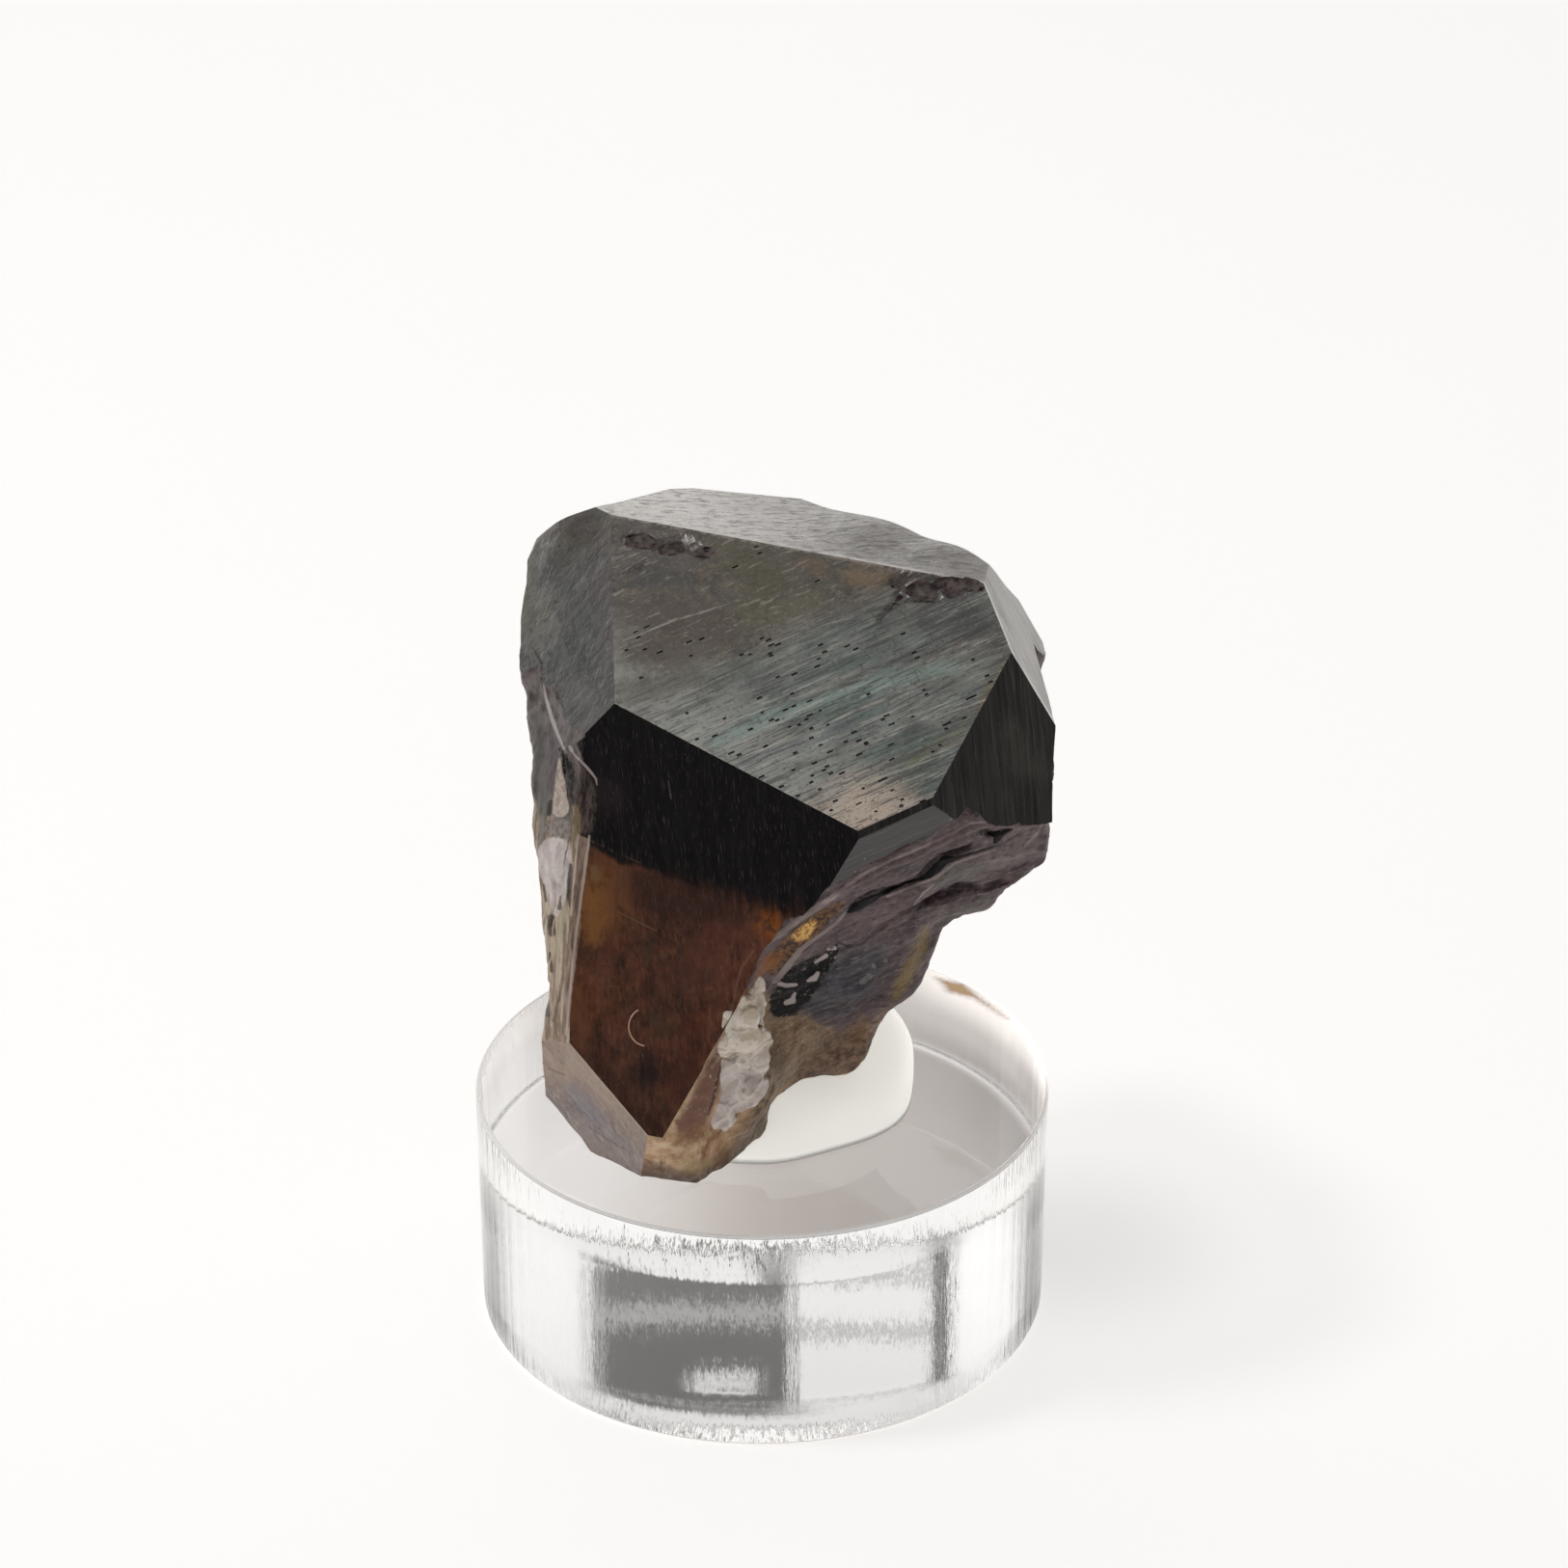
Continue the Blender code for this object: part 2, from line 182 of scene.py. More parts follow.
class Finish(Nodes):
    """A procedural material on millimetre Object coordinates."""

    def __init__(self, name):
        self.material = bpy.data.materials.new(name)
        self.material.use_nodes = True
        super().__init__(self.material.node_tree)
        self.shader = self.tree.nodes["Principled BSDF"]
        place = self.node("ShaderNodeTexCoord").outputs["Object"]
        self.place = self.vector("SCALE", place, scale=1.0 / MM)

    def vector(self, operation, first, second=None, scale=None):
        """The result of one vector operation."""
        made = self.node("ShaderNodeVectorMath", operation=operation)
        self.feed(made.inputs[0], first)
        if second is not None:
            self.feed(made.inputs[1], second)
        if scale is not None:
            self.feed(made.inputs["Scale"], scale)
        return made.outputs["Value" if operation in ("DISTANCE", "DOT_PRODUCT") else "Vector"]

    def reach(self, direction, point):
        """Signed distance from a point along a direction."""
        direction = Vector(direction).normalized()
        length = self.vector("DOT_PRODUCT", self.place, tuple(direction))
        return self.math("SUBTRACT", length, direction.dot(Vector(point)))

    def near(self, point, inner, outer, wander=0.0):
        """1 within the inner radius of a point, 0 beyond the outer one."""
        away = self.vector("DISTANCE", self.place, point)
        if wander:
            away = self.math("ADD", away, self.math("MULTIPLY", self.wander(), wander))
        return self.step(away, inner, outer, 1.0, 0.0)

    def line(self, start, end, inner, outer):
        """1 within the inner distance of a straight line between two points."""
        start, end = Vector(start), Vector(end)
        along = end - start
        offset = self.vector("SUBTRACT", self.place, tuple(start))
        share = self.math("DIVIDE", self.vector("DOT_PRODUCT", offset, tuple(along)), along.length_squared)
        share = self.math("MINIMUM", self.math("MAXIMUM", share, 0.0), 1.0)
        foot = self.vector("SCALE", tuple(along), scale=share)
        away = self.vector("DISTANCE", offset, foot)
        return self.step(away, inner, outer, 1.0, 0.0)

    def band(self, points, blur, shake=0.0, through=None):
        """1 along a chain of points, each given with its half width, with an uneven edge.

        With a direction to run through, only the distance across that direction counts.
        """
        over = None
        for start, end in zip(points, points[1:]):
            along = Vector(end[:3]) - Vector(start[:3])
            offset = self.vector("SUBTRACT", self.place, tuple(start[:3]))
            if through is not None:
                along -= through * along.dot(through)
                depth = self.vector("DOT_PRODUCT", offset, tuple(through))
                offset = self.vector("SUBTRACT", offset, self.vector("SCALE", tuple(through), scale=depth))
            share = self.math(
                "DIVIDE", self.vector("DOT_PRODUCT", offset, tuple(along)), along.length_squared,
            )
            share = self.math("MINIMUM", self.math("MAXIMUM", share, 0.0), 1.0)
            away = self.vector("DISTANCE", offset, self.vector("SCALE", tuple(along), scale=share))
            width = self.math("MULTIPLY_ADD", share, end[3] - start[3], start[3])
            away = self.math("SUBTRACT", away, width)
            over = away if over is None else self.math("MINIMUM", over, away)
        if shake:
            over = self.math("ADD", over, self.math("MULTIPLY", self.wander(4.0), shake))
        return self.step(over, -blur, blur, 1.0, 0.0)

    def along_edge(self, name, inner, outer):
        """1 beside the edge that a face shares with the named growth face."""
        normal = face_normal(name)
        away = self.reach(normal, CRYSTAL_CENTRE + normal * FACE_DISTANCE[name])
        return self.step(self.math("ABSOLUTE", away), inner, outer, 1.0, 0.0)

    def wander(self, scale=0.9):
        """Noise around 0."""
        return self.math("SUBTRACT", self.grain(scale, 4.0), 0.5)

    def turned(self, along, normal, stretch, shift=(0.0, 0.0, 0.0)):
        """Coordinates that run slower along one direction of a face."""
        normal = Vector(normal).normalized()
        along = (Vector(along) - normal * Vector(along).dot(normal)).normalized()
        turn = Matrix((along, normal.cross(along), normal)).transposed().to_euler()
        made = self.node("ShaderNodeMapping", vector_type="TEXTURE")
        self.feed(made.inputs["Vector"], self.place)
        made.inputs["Rotation"].default_value = turn
        made.inputs["Scale"].default_value = (stretch, 1.0, 1.0)
        made.inputs["Location"].default_value = shift
        return made.outputs["Vector"]

    def grain(self, scale, detail=3.0, place=None, rough=0.55):
        """Soft noise between 0 and 1."""
        made = self.node("ShaderNodeTexNoise")
        self.feed(made.inputs["Vector"], place or self.place)
        made.inputs["Scale"].default_value = scale
        made.inputs["Detail"].default_value = detail
        made.inputs["Roughness"].default_value = rough
        return made.outputs["Fac"]

    def cells(self, scale, place=None, feature="F1"):
        """Distance to the nearest of scattered points."""
        made = self.node("ShaderNodeTexVoronoi", feature=feature)
        self.feed(made.inputs["Vector"], place or self.place)
        made.inputs["Scale"].default_value = scale
        return made.outputs["Distance"]

    def attribute(self, name):
        """A measure stored on the mesh's points."""
        return self.node("ShaderNodeAttribute", attribute_name=name).outputs["Fac"]

    def mix(self, share, first, second):
        """The first colour where the share is 0, the second where it is 1."""
        made = self.node("ShaderNodeMix", data_type="RGBA")
        self.feed(made.inputs["Factor"], share)
        self.feed(made.inputs["A"], first)
        self.feed(made.inputs["B"], second)
        return made.outputs["Result"]

    def bump(self, height, strength, distance):
        """Surface direction for a height; the distance is in millimetres."""
        made = self.node("ShaderNodeBump")
        made.inputs["Strength"].default_value = strength
        made.inputs["Distance"].default_value = distance * MM
        self.feed(made.inputs["Height"], height)
        return made.outputs["Normal"]

    def close(self, colour, roughness, normal=None, **fixed):
        """Sets the colour, the roughness and fixed values, and gives the material."""
        self.feed(self.shader.inputs["Base Color"], colour)
        self.feed(self.shader.inputs["Roughness"], roughness)
        if normal is not None:
            self.feed(self.shader.inputs["Normal"], normal)
        for name, value in fixed.items():
            self.shader.inputs[name.replace("_", " ")].default_value = value
        return self.material

    def over(self, colour, shade, *shares):
        """Lays a shade over a colour, as far as the product of the shares."""
        return self.mix(self.product(*shares), colour, shade)


GARNET_IOR = 1.887


def face_normal(name):
    """Outward direction of a growth face."""
    return (CRYSTAL_TURN @ Vector(GROWTH_FACES[name][1])).normalized()


def striated(finish, along, normal, scale=5.0, stretch=14.0):
    """Fine and wide streaks of a growth face, each between 0 and 1."""
    fine = finish.grain(scale, 3.0, finish.turned(along, normal, stretch))
    wide = finish.grain(scale * 0.28, 2.0, finish.turned(along, normal, stretch * 0.8, (3.0, 1.0, 2.0)))
    return fine, wide


def pits(finish, scale, size):
    """Small round holes scattered over a face, 1 inside each."""
    holes = finish.cells(scale)
    chosen = finish.step(finish.grain(scale * 0.45, 1.0), 0.50, 0.56)
    return finish.product(finish.step(holes, size * 0.6, size, 1.0, 0.0), chosen)


def with_zones(finish, colour, zones, through):
    """Lays a list of soft colour zones over a colour."""
    for chain, blur, share, shade in zones:
        colour = finish.over(colour, shade, finish.band(chain, blur, 2.5 * blur, through), share)
    return colour


# Zones of the crown, in pixels of the photograph: place and half width, then blur, share and colour
CROWN_SIGHT = sight(840, 700)
CROWN_ZONES = (
    (seen((648, 550, 9.0), (680, 562, 13.0), (720, 576, 11.0)), 0.35, 0.65, tone(70, 56, 54)),
    (seen((662, 598, 8.0), (690, 594, 13.0), (716, 602, 9.0)), 0.35, 0.70, tone(56, 54, 48)),
    (
        seen((738, 562, 7.0), (768, 580, 15.0), (800, 598, 15.0), (770, 626, 12.0)), 0.45, 0.75,
        tone(82, 76, 38),
    ),
    (seen((832, 580, 5.0), (852, 590, 6.0)), 0.25, 0.65, tone(124, 88, 56)),
    (seen((884, 596, 8.0), (902, 600, 9.0), (922, 597, 5.0)), 0.30, 0.75, tone(140, 114, 76)),
    (
        seen((648, 628, 12.0), (692, 640, 22.0), (742, 650, 20.0), (692, 682, 17.0), (652, 674, 12.0)),
        0.50, 0.85, tone(70, 51, 26),
    ),
    (seen((772, 646, 7.0), (800, 636, 8.0), (850, 620, 8.0)), 0.35, 0.60, tone(98, 98, 60)),
    (seen((645, 716, 12.0), (690, 712, 12.0), (724, 700, 7.0)), 0.35, 0.75, tone(86, 82, 52)),
    (seen((958, 642, 12.0), (990, 630, 18.0), (1016, 652, 14.0)), 0.55, 0.75, tone(58, 62, 58)),
    (
        seen(
            (745, 768, 6.0), (790, 746, 9.0), (840, 730, 7.0), (880, 718, 5.0), (935, 704, 7.0),
            (990, 690, 5.0),
        ),
        0.30, 0.80, tone(148, 172, 163),
    ),
    (
        seen((772, 790, 4.0), (802, 776, 5.0), (850, 760, 5.0), (884, 748, 3.0)), 0.20, 0.40,
        tone(110, 110, 122),
    ),
    (seen((1012, 738, 3.0), (1026, 712, 6.0), (1040, 690, 4.0)), 0.25, 0.70, tone(136, 122, 86)),
    (seen((996, 750, 4.0), (972, 770, 7.0), (942, 790, 7.0)), 0.35, 0.65, tone(118, 120, 86)),
)
CROWN_LINES = (
    seen((645, 664, 0.5), (700, 642, 0.9), (722, 636, 0.7), (752, 626, 0.3)),
    seen((724, 698, 0.4), (760, 683, 0.9), (802, 666, 0.9), (850, 649, 0.6), (880, 641, 0.3)),
    seen((742, 794, 0.8), (790, 776, 1.6), (868, 744, 1.2), (920, 723, 0.9), (1000, 690, 0.4)),
    seen((690, 772, 0.8), (750, 750, 1.4), (805, 730, 1.0), (862, 712, 0.7), (905, 699, 0.3)),
    seen((824, 832, 0.5), (880, 813, 1.0), (932, 796, 0.8), (985, 778, 0.4)),
    seen((668, 752, 0.6), (705, 735, 0.9), (735, 724, 0.4)),
)


def crown_top_finish():
    """Big upper face: grey green with teal, brown and pink zones, streaked."""
    finish = Finish("crown_top")
    normal = face_normal("top front")
    fine = finish.grain(12.0, 4.0, finish.turned(LONG_STREAK, normal, 13.0), rough=0.65)
    wide = finish.grain(4.2, 3.0, finish.turned(LONG_STREAK, normal, 16.0, (3.0, 1.0, 2.0)), rough=0.6)
    broad = finish.grain(2.0, 3.0, finish.turned(LONG_STREAK, normal, 9.0, (5.0, 2.0, 1.0)))
    patch = finish.grain(0.55, 5.0, rough=0.6)
    mottle = finish.grain(2.4, 5.0, rough=0.65)
    grit = finish.grain(7.0, 3.0, rough=0.7)
    up = finish.reach(UP_THE_CROWN, (-5.23, -2.50, 29.58))
    high = finish.step(finish.math("ADD", up, finish.product(finish.wander(0.5), 2.4)), -2.2, 0.3)
    colour = finish.mix(finish.step(patch, 0.3, 0.7), tone(98, 99, 94), tone(138, 139, 133))
    teal = finish.product(finish.step(broad, 0.44, 0.58), finish.near((4.2, -5.4, 29.3), 1.5, 6.5, 2.0))
    colour = finish.over(colour, tone(104, 128, 121), teal, 0.7)
    tint = finish.grain(0.7, 3.0, finish.turned(LONG_STREAK, normal, 3.0, (7.0, 4.0, 1.0)))
    colour = finish.over(colour, tone(108, 92, 82), finish.step(tint, 0.52, 0.66), 0.5)
    colour = finish.over(colour, tone(86, 104, 92), finish.step(tint, 0.46, 0.34), 0.4)
    brown = finish.mix(finish.step(mottle, 0.35, 0.65), tone(56, 46, 32), tone(114, 98, 74))
    green = finish.near((1.6, 1.2, 32.6), 0.8, 3.6, 2.0)
    brown = finish.over(brown, tone(84, 82, 66), green, 0.6)
    grey = finish.near((-5.0, 2.6, 32.8), 0.5, 2.6, 1.5)
    brown = finish.over(brown, tone(66, 61, 56), grey, 0.6)
    right = finish.near((7.4, -1.4, 32.2), 0.8, 3.4, 1.5)
    brown = finish.over(brown, tone(84, 84, 76), right, 0.6)
    brown = finish.over(brown, tone(126, 116, 98), finish.step(grit, 0.56, 0.66), 0.45)
    brown = finish.over(brown, tone(48, 42, 34), finish.step(grit, 0.46, 0.36), 0.45)
    colour = finish.over(colour, brown, high)
    left = finish.near((-4.6, -2.2, 29.8), 0.8, 3.2, 2.0)
    colour = finish.over(colour, tone(102, 88, 70), left, 0.65)
    lit = finish.product(finish.along_edge("front left", 0.3, 2.4), finish.step(patch, 0.30, 0.52))
    colour = finish.over(colour, tone(172, 173, 165), lit, 0.75)
    pink = finish.near((4.0, -9.3, 26.7), 1.0, 3.2, 1.4)
    colour = finish.over(colour, tone(226, 202, 180), pink, 0.9)
    colour = with_zones(finish, colour, CROWN_ZONES, CROWN_SIGHT)
    colour = finish.over(colour, tone(150, 142, 126), finish.step(grit, 0.54, 0.66), 0.30)
    colour = finish.over(colour, tone(46, 42, 36), finish.step(grit, 0.46, 0.36), 0.40)
    low = finish.step(high, 1.0, 0.3)
    rim = finish.step(finish.math("ADD", up, finish.product(broad, 1.2)), -0.6, -3.4)
    streak = finish.math("ADD", finish.product(fine, 0.6), finish.product(wide, 0.4))
    pale = finish.product(finish.step(streak, 0.53, 0.63), low)
    strength = finish.math("ADD", 0.42, finish.product(rim, 0.42))
    colour = finish.over(colour, tone(194, 193, 183), pale, strength)
    thin = finish.step(fine, 0.40, 0.56, 0.2, 1.0)
    for chain in CROWN_LINES:
        colour = finish.over(
            colour, tone(196, 192, 176), finish.band(chain, 0.03, 0.06, CROWN_SIGHT), thin, 0.7,
        )
    dash = finish.product(
        finish.step(finish.grain(7.0, 3.0, finish.turned(LONG_STREAK, normal, 5.0)), 0.60, 0.68), high,
    )
    colour = finish.over(colour, tone(164, 154, 138), dash, 0.7)
    dark = finish.product(
        finish.step(streak, 0.49, 0.42), finish.math("ADD", finish.product(low, 0.45), 0.25),
    )
    colour = finish.over(colour, tone(40, 40, 38), dark)
    spot = finish.product(finish.step(grit, 0.42, 0.34), low)
    colour = finish.over(colour, tone(52, 50, 48), spot, 0.5)
    # Painted highlight: a thin light line along the edge with the roof, broken up by the mottle.
    edge = finish.product(finish.along_edge("top", 0.02, 0.12), finish.step(mottle, 0.42, 0.55))
    colour = finish.over(colour, tone(168, 156, 144), edge, 0.7)
    chip = finish.step(finish.attribute("hollow"), 0.02, 0.10)
    colour = finish.over(colour, chip_colour(finish), chip, 0.7)
    normal_map = finish.bump(finish.math("ADD", streak, finish.product(grit, 0.3)), 0.6, 0.02)
    rough = finish.step(patch, 0.3, 0.7, 0.24, 0.36)
    return finish.close(colour, rough, normal_map, IOR=GARNET_IOR, Specular_IOR_Level=0.3)


def chip_colour(finish):
    """Colour of the chips near the top edge."""
    spread = finish.grain(2.8, 4.0, rough=0.6)
    colour = finish.mix(finish.step(spread, 0.35, 0.62), tone(62, 50, 51), tone(112, 99, 96))
    return finish.mix(finish.product(finish.step(spread, 0.60, 0.70), 0.7), colour, tone(128, 112, 108))


def chip_finish():
    """Small broken places beside the crown's upper edge."""
    finish = Finish("crown_chips")
    height = finish.grain(3.2, 4.0, rough=0.6)
    normal_map = finish.bump(height, 0.8, 0.06)
    rough = finish.step(height, 0.4, 0.6, 0.42, 0.60)
    return finish.close(chip_colour(finish), rough, normal_map, IOR=GARNET_IOR, Specular_IOR_Level=0.10)


def pit_finish():
    """Floors of the small pits in the crown."""
    finish = Finish("crown_pits")
    colour = finish.mix(finish.grain(3.0, 2.0), tone(26, 24, 23), tone(60, 56, 52))
    return finish.close(colour, 0.5, IOR=GARNET_IOR)


def roof_finish():
    """Steep upper faces that catch the light behind the stone."""
    finish = Finish("roof")
    fine, wide = striated(finish, LONG_STREAK, face_normal("top"), 3.5, 10.0)
    patch = finish.grain(0.6, 5.0, rough=0.65)
    across = finish.reach((1.0, 0.0, 0.0), (2.0, 0.0, 0.0))
    colour = finish.mix(finish.step(patch, 0.3, 0.7), tone(128, 122, 117), tone(178, 173, 168))
    # Painted reflection: the roof is lighter towards the left and darker towards the right.
    colour = finish.over(colour, tone(226, 220, 214), finish.step(across, 2.0, -6.0))
    colour = finish.over(colour, tone(86, 78, 72), finish.step(across, -1.5, 3.0), 0.35)
    seam = finish.math("ADD", finish.reach(UP_THE_CROWN, (8.6, -0.4, 32.6)), finish.wander(1.0))
    colour = finish.over(
        colour, tone(56, 48, 44), finish.step(across, -3.0, 2.0), finish.step(seam, 1.6, 0.5), 0.45,
    )
    grit = finish.grain(3.2, 5.0, finish.turned(LONG_STREAK, face_normal("top"), 2.0), rough=0.7)
    colour = finish.over(colour, tone(72, 66, 62), finish.step(grit, 0.50, 0.62), 0.7)
    colour = finish.over(colour, tone(64, 60, 56), finish.step(wide, 0.54, 0.68), 0.30)
    colour = finish.over(colour, tone(52, 50, 48), finish.step(fine, 0.58, 0.68), 0.15)
    # Painted highlight along the edge with the crown.
    edge = finish.product(
        finish.along_edge("top front", 0.10, 0.40), finish.step(finish.grain(1.4, 3.0), 0.38, 0.52),
    )
    colour = finish.over(colour, tone(214, 206, 200), edge, 0.8)
    normal_map = finish.bump(finish.math("ADD", fine, finish.product(grit, 2.0)), 0.6, 0.05)
    return finish.close(colour, finish.step(grit, 0.3, 0.7, 0.24, 0.50), normal_map, IOR=GARNET_IOR)


def pale_shoulder_finish():
    """Steep face above the right front face, silver grey, with a dark foot."""
    finish = Finish("pale_shoulder")
    fine, wide = striated(finish, STEEP_STREAK, face_normal("right shoulder"), 4.0, 10.0)
    patch = finish.grain(0.8, 5.0, rough=0.65)
    colour = finish.mix(finish.step(patch, 0.3, 0.7), tone(120, 114, 108), tone(184, 180, 174))
    colour = finish.over(colour, tone(84, 76, 72), finish.step(wide, 0.52, 0.66), 0.7)
    colour = finish.over(colour, tone(214, 210, 204), finish.step(fine, 0.42, 0.34), 0.6)
    low = finish.step(
        finish.math("ADD", finish.reach((0, 0, -1), (0, 0, 29.4)), finish.wander(1.2)), -0.4, 0.8,
    )
    colour = finish.over(colour, tone(72, 62, 56), low, 0.6)
    # Painted highlight: thin light lines along the edges with the crown and the right front face.
    edge = finish.math(
        "MAXIMUM", finish.along_edge("top front", 0.15, 0.32), finish.along_edge("front right", 0.15, 0.32),
    )
    colour = finish.over(colour, tone(246, 240, 232), edge, 0.85)
    beside = finish.product(
        finish.along_edge("top front", 0.55, 0.85),
        finish.step(finish.along_edge("top front", 0.30, 0.45), 0.9, 0.1),
    )
    colour = finish.over(colour, tone(110, 104, 100), beside, 0.5)
    normal_map = finish.bump(finish.math("ADD", fine, patch), 0.6, 0.04)
    return finish.close(colour, finish.step(patch, 0.3, 0.7, 0.26, 0.42), normal_map, IOR=GARNET_IOR)


# Pale ribbon and smoky collar along the left edge of the window, in pixels of the photograph:
# place and half width
LEFT_SIGHT = sight(590, 880)
RIBBON = seen(
    (603, 876, 8.0), (601, 900, 6.0), (598, 930, 5.0), (596, 960, 5.5), (593, 990, 5.0), (590, 1015, 4.5),
    (588, 1045, 3.5), (585, 1072, 3.5),
)
COLLAR = seen((603, 800, 5.0), (606, 815, 9.0), (606, 835, 10.0), (604, 854, 10.0))
RIBBON_LINES = (
    seen(
        (611, 867, 1.2), (607, 897, 1.5), (603, 927, 1.3), (597, 971, 1.2), (592, 1022, 1.1),
        (587, 1074, 0.9),
    ),
    seen((600, 866, 0.9), (596, 900, 1.0), (592, 949, 0.8)),
)
CURVED_RIDGE = seen(
    (591, 776, 1.0), (598, 785, 1.1), (606, 793, 1.3), (613, 801, 1.2), (618, 808, 0.8), (619, 814, 0.5),
)
DARK_CORNER = seen((610, 764, 1.5), (602, 771, 3.5), (608, 782, 5.0), (616, 794, 5.0))
OLIVE_COLUMN = seen((597, 838, 3.5), (597, 865, 4.5), (597, 888, 2.5))


def with_ribbon(finish, colour):
    """Lays the smoky collar and the pale ribbon below it over a colour."""
    def band(chain, blur, shake=0.0):
        return finish.band(chain, blur, shake, LEFT_SIGHT)

    grain = finish.grain(5.0, 5.0, finish.turned((-0.10, -0.42, -0.90), (-0.41, -0.80, 0.43), 5.0), rough=0.7)
    smoke = finish.mix(finish.step(grain, 0.38, 0.62), tone(46, 36, 35), tone(118, 103, 95))
    colour = finish.over(colour, smoke, band(COLLAR, 0.16, 0.3), 0.85)
    olive = finish.mix(finish.step(grain, 0.4, 0.6), tone(98, 82, 58), tone(150, 130, 98))
    colour = finish.over(colour, olive, band(OLIVE_COLUMN, 0.05, 0.15), 0.85)
    colour = finish.over(colour, tone(17, 13, 14), band(DARK_CORNER, 0.05, 0.10))
    ribbon = finish.mix(finish.step(grain, 0.38, 0.62), tone(122, 98, 84), tone(172, 150, 136))
    colour = finish.over(colour, ribbon, band(RIBBON, 0.03, 0.10), 0.95)
    for line in RIBBON_LINES:
        colour = finish.over(colour, tone(208, 188, 174), band(line, 0.03, 0.05), 0.8)
    return finish.mix(finish.product(band(CURVED_RIDGE, 0.025, 0.03), 0.9), colour, tone(190, 176, 172))


WINDOW_SIGHT = sight(700, 1000)
WINDOW_ZONES = (
    (seen((620, 880, 6.0), (636, 902, 9.0), (642, 930, 10.0)), 0.35, 0.55, tone(112, 72, 48)),
    (seen((614, 928, 7.0), (618, 950, 10.0), (616, 972, 8.0)), 0.30, 0.80, tone(142, 94, 50)),
    (seen((616, 902, 4.0), (618, 909, 4.0)), 0.12, 0.60, tone(134, 108, 74)),
    (
        seen((664, 922, 10.0), (692, 945, 13.0), (722, 940, 12.0), (762, 954, 10.0)), 0.50, 0.55,
        tone(52, 34, 31),
    ),
    (seen((742, 970, 10.0), (720, 1000, 14.0), (700, 1016, 14.0)), 0.55, 0.60, tone(92, 54, 44)),
    (seen((672, 975, 5.0), (674, 990, 6.0)), 0.25, 0.55, tone(78, 62, 46)),
    (seen((678, 1056, 7.0), (690, 1068, 7.0)), 0.30, 0.55, tone(76, 60, 44)),
    (seen((598, 1028, 6.0), (601, 1060, 8.0), (606, 1086, 5.0)), 0.30, 0.60, tone(114, 70, 42)),
    (seen((622, 1105, 6.0), (642, 1130, 7.0), (656, 1155, 6.0)), 0.30, 0.55, tone(44, 28, 22)),
    (seen((715, 1065, 12.0), (712, 1100, 11.0), (702, 1125, 8.0)), 0.50, 0.60, tone(80, 38, 28)),
)
WINDOW_LINES = (
    (
        seen((754, 1078, 1.2), (757, 1050, 1.2), (762, 1025, 1.0), (767, 1004, 1.0), (780, 986, 1.2)), 0.04,
        0.60, tone(134, 98, 80),
    ),
    (seen((748, 1096, 1.5), (738, 1108, 2.0)), 0.08, 0.50, tone(128, 92, 80)),
    (seen((693, 812, 0.5), (696, 830, 0.7)), 0.03, 0.60, tone(110, 100, 96)),
)


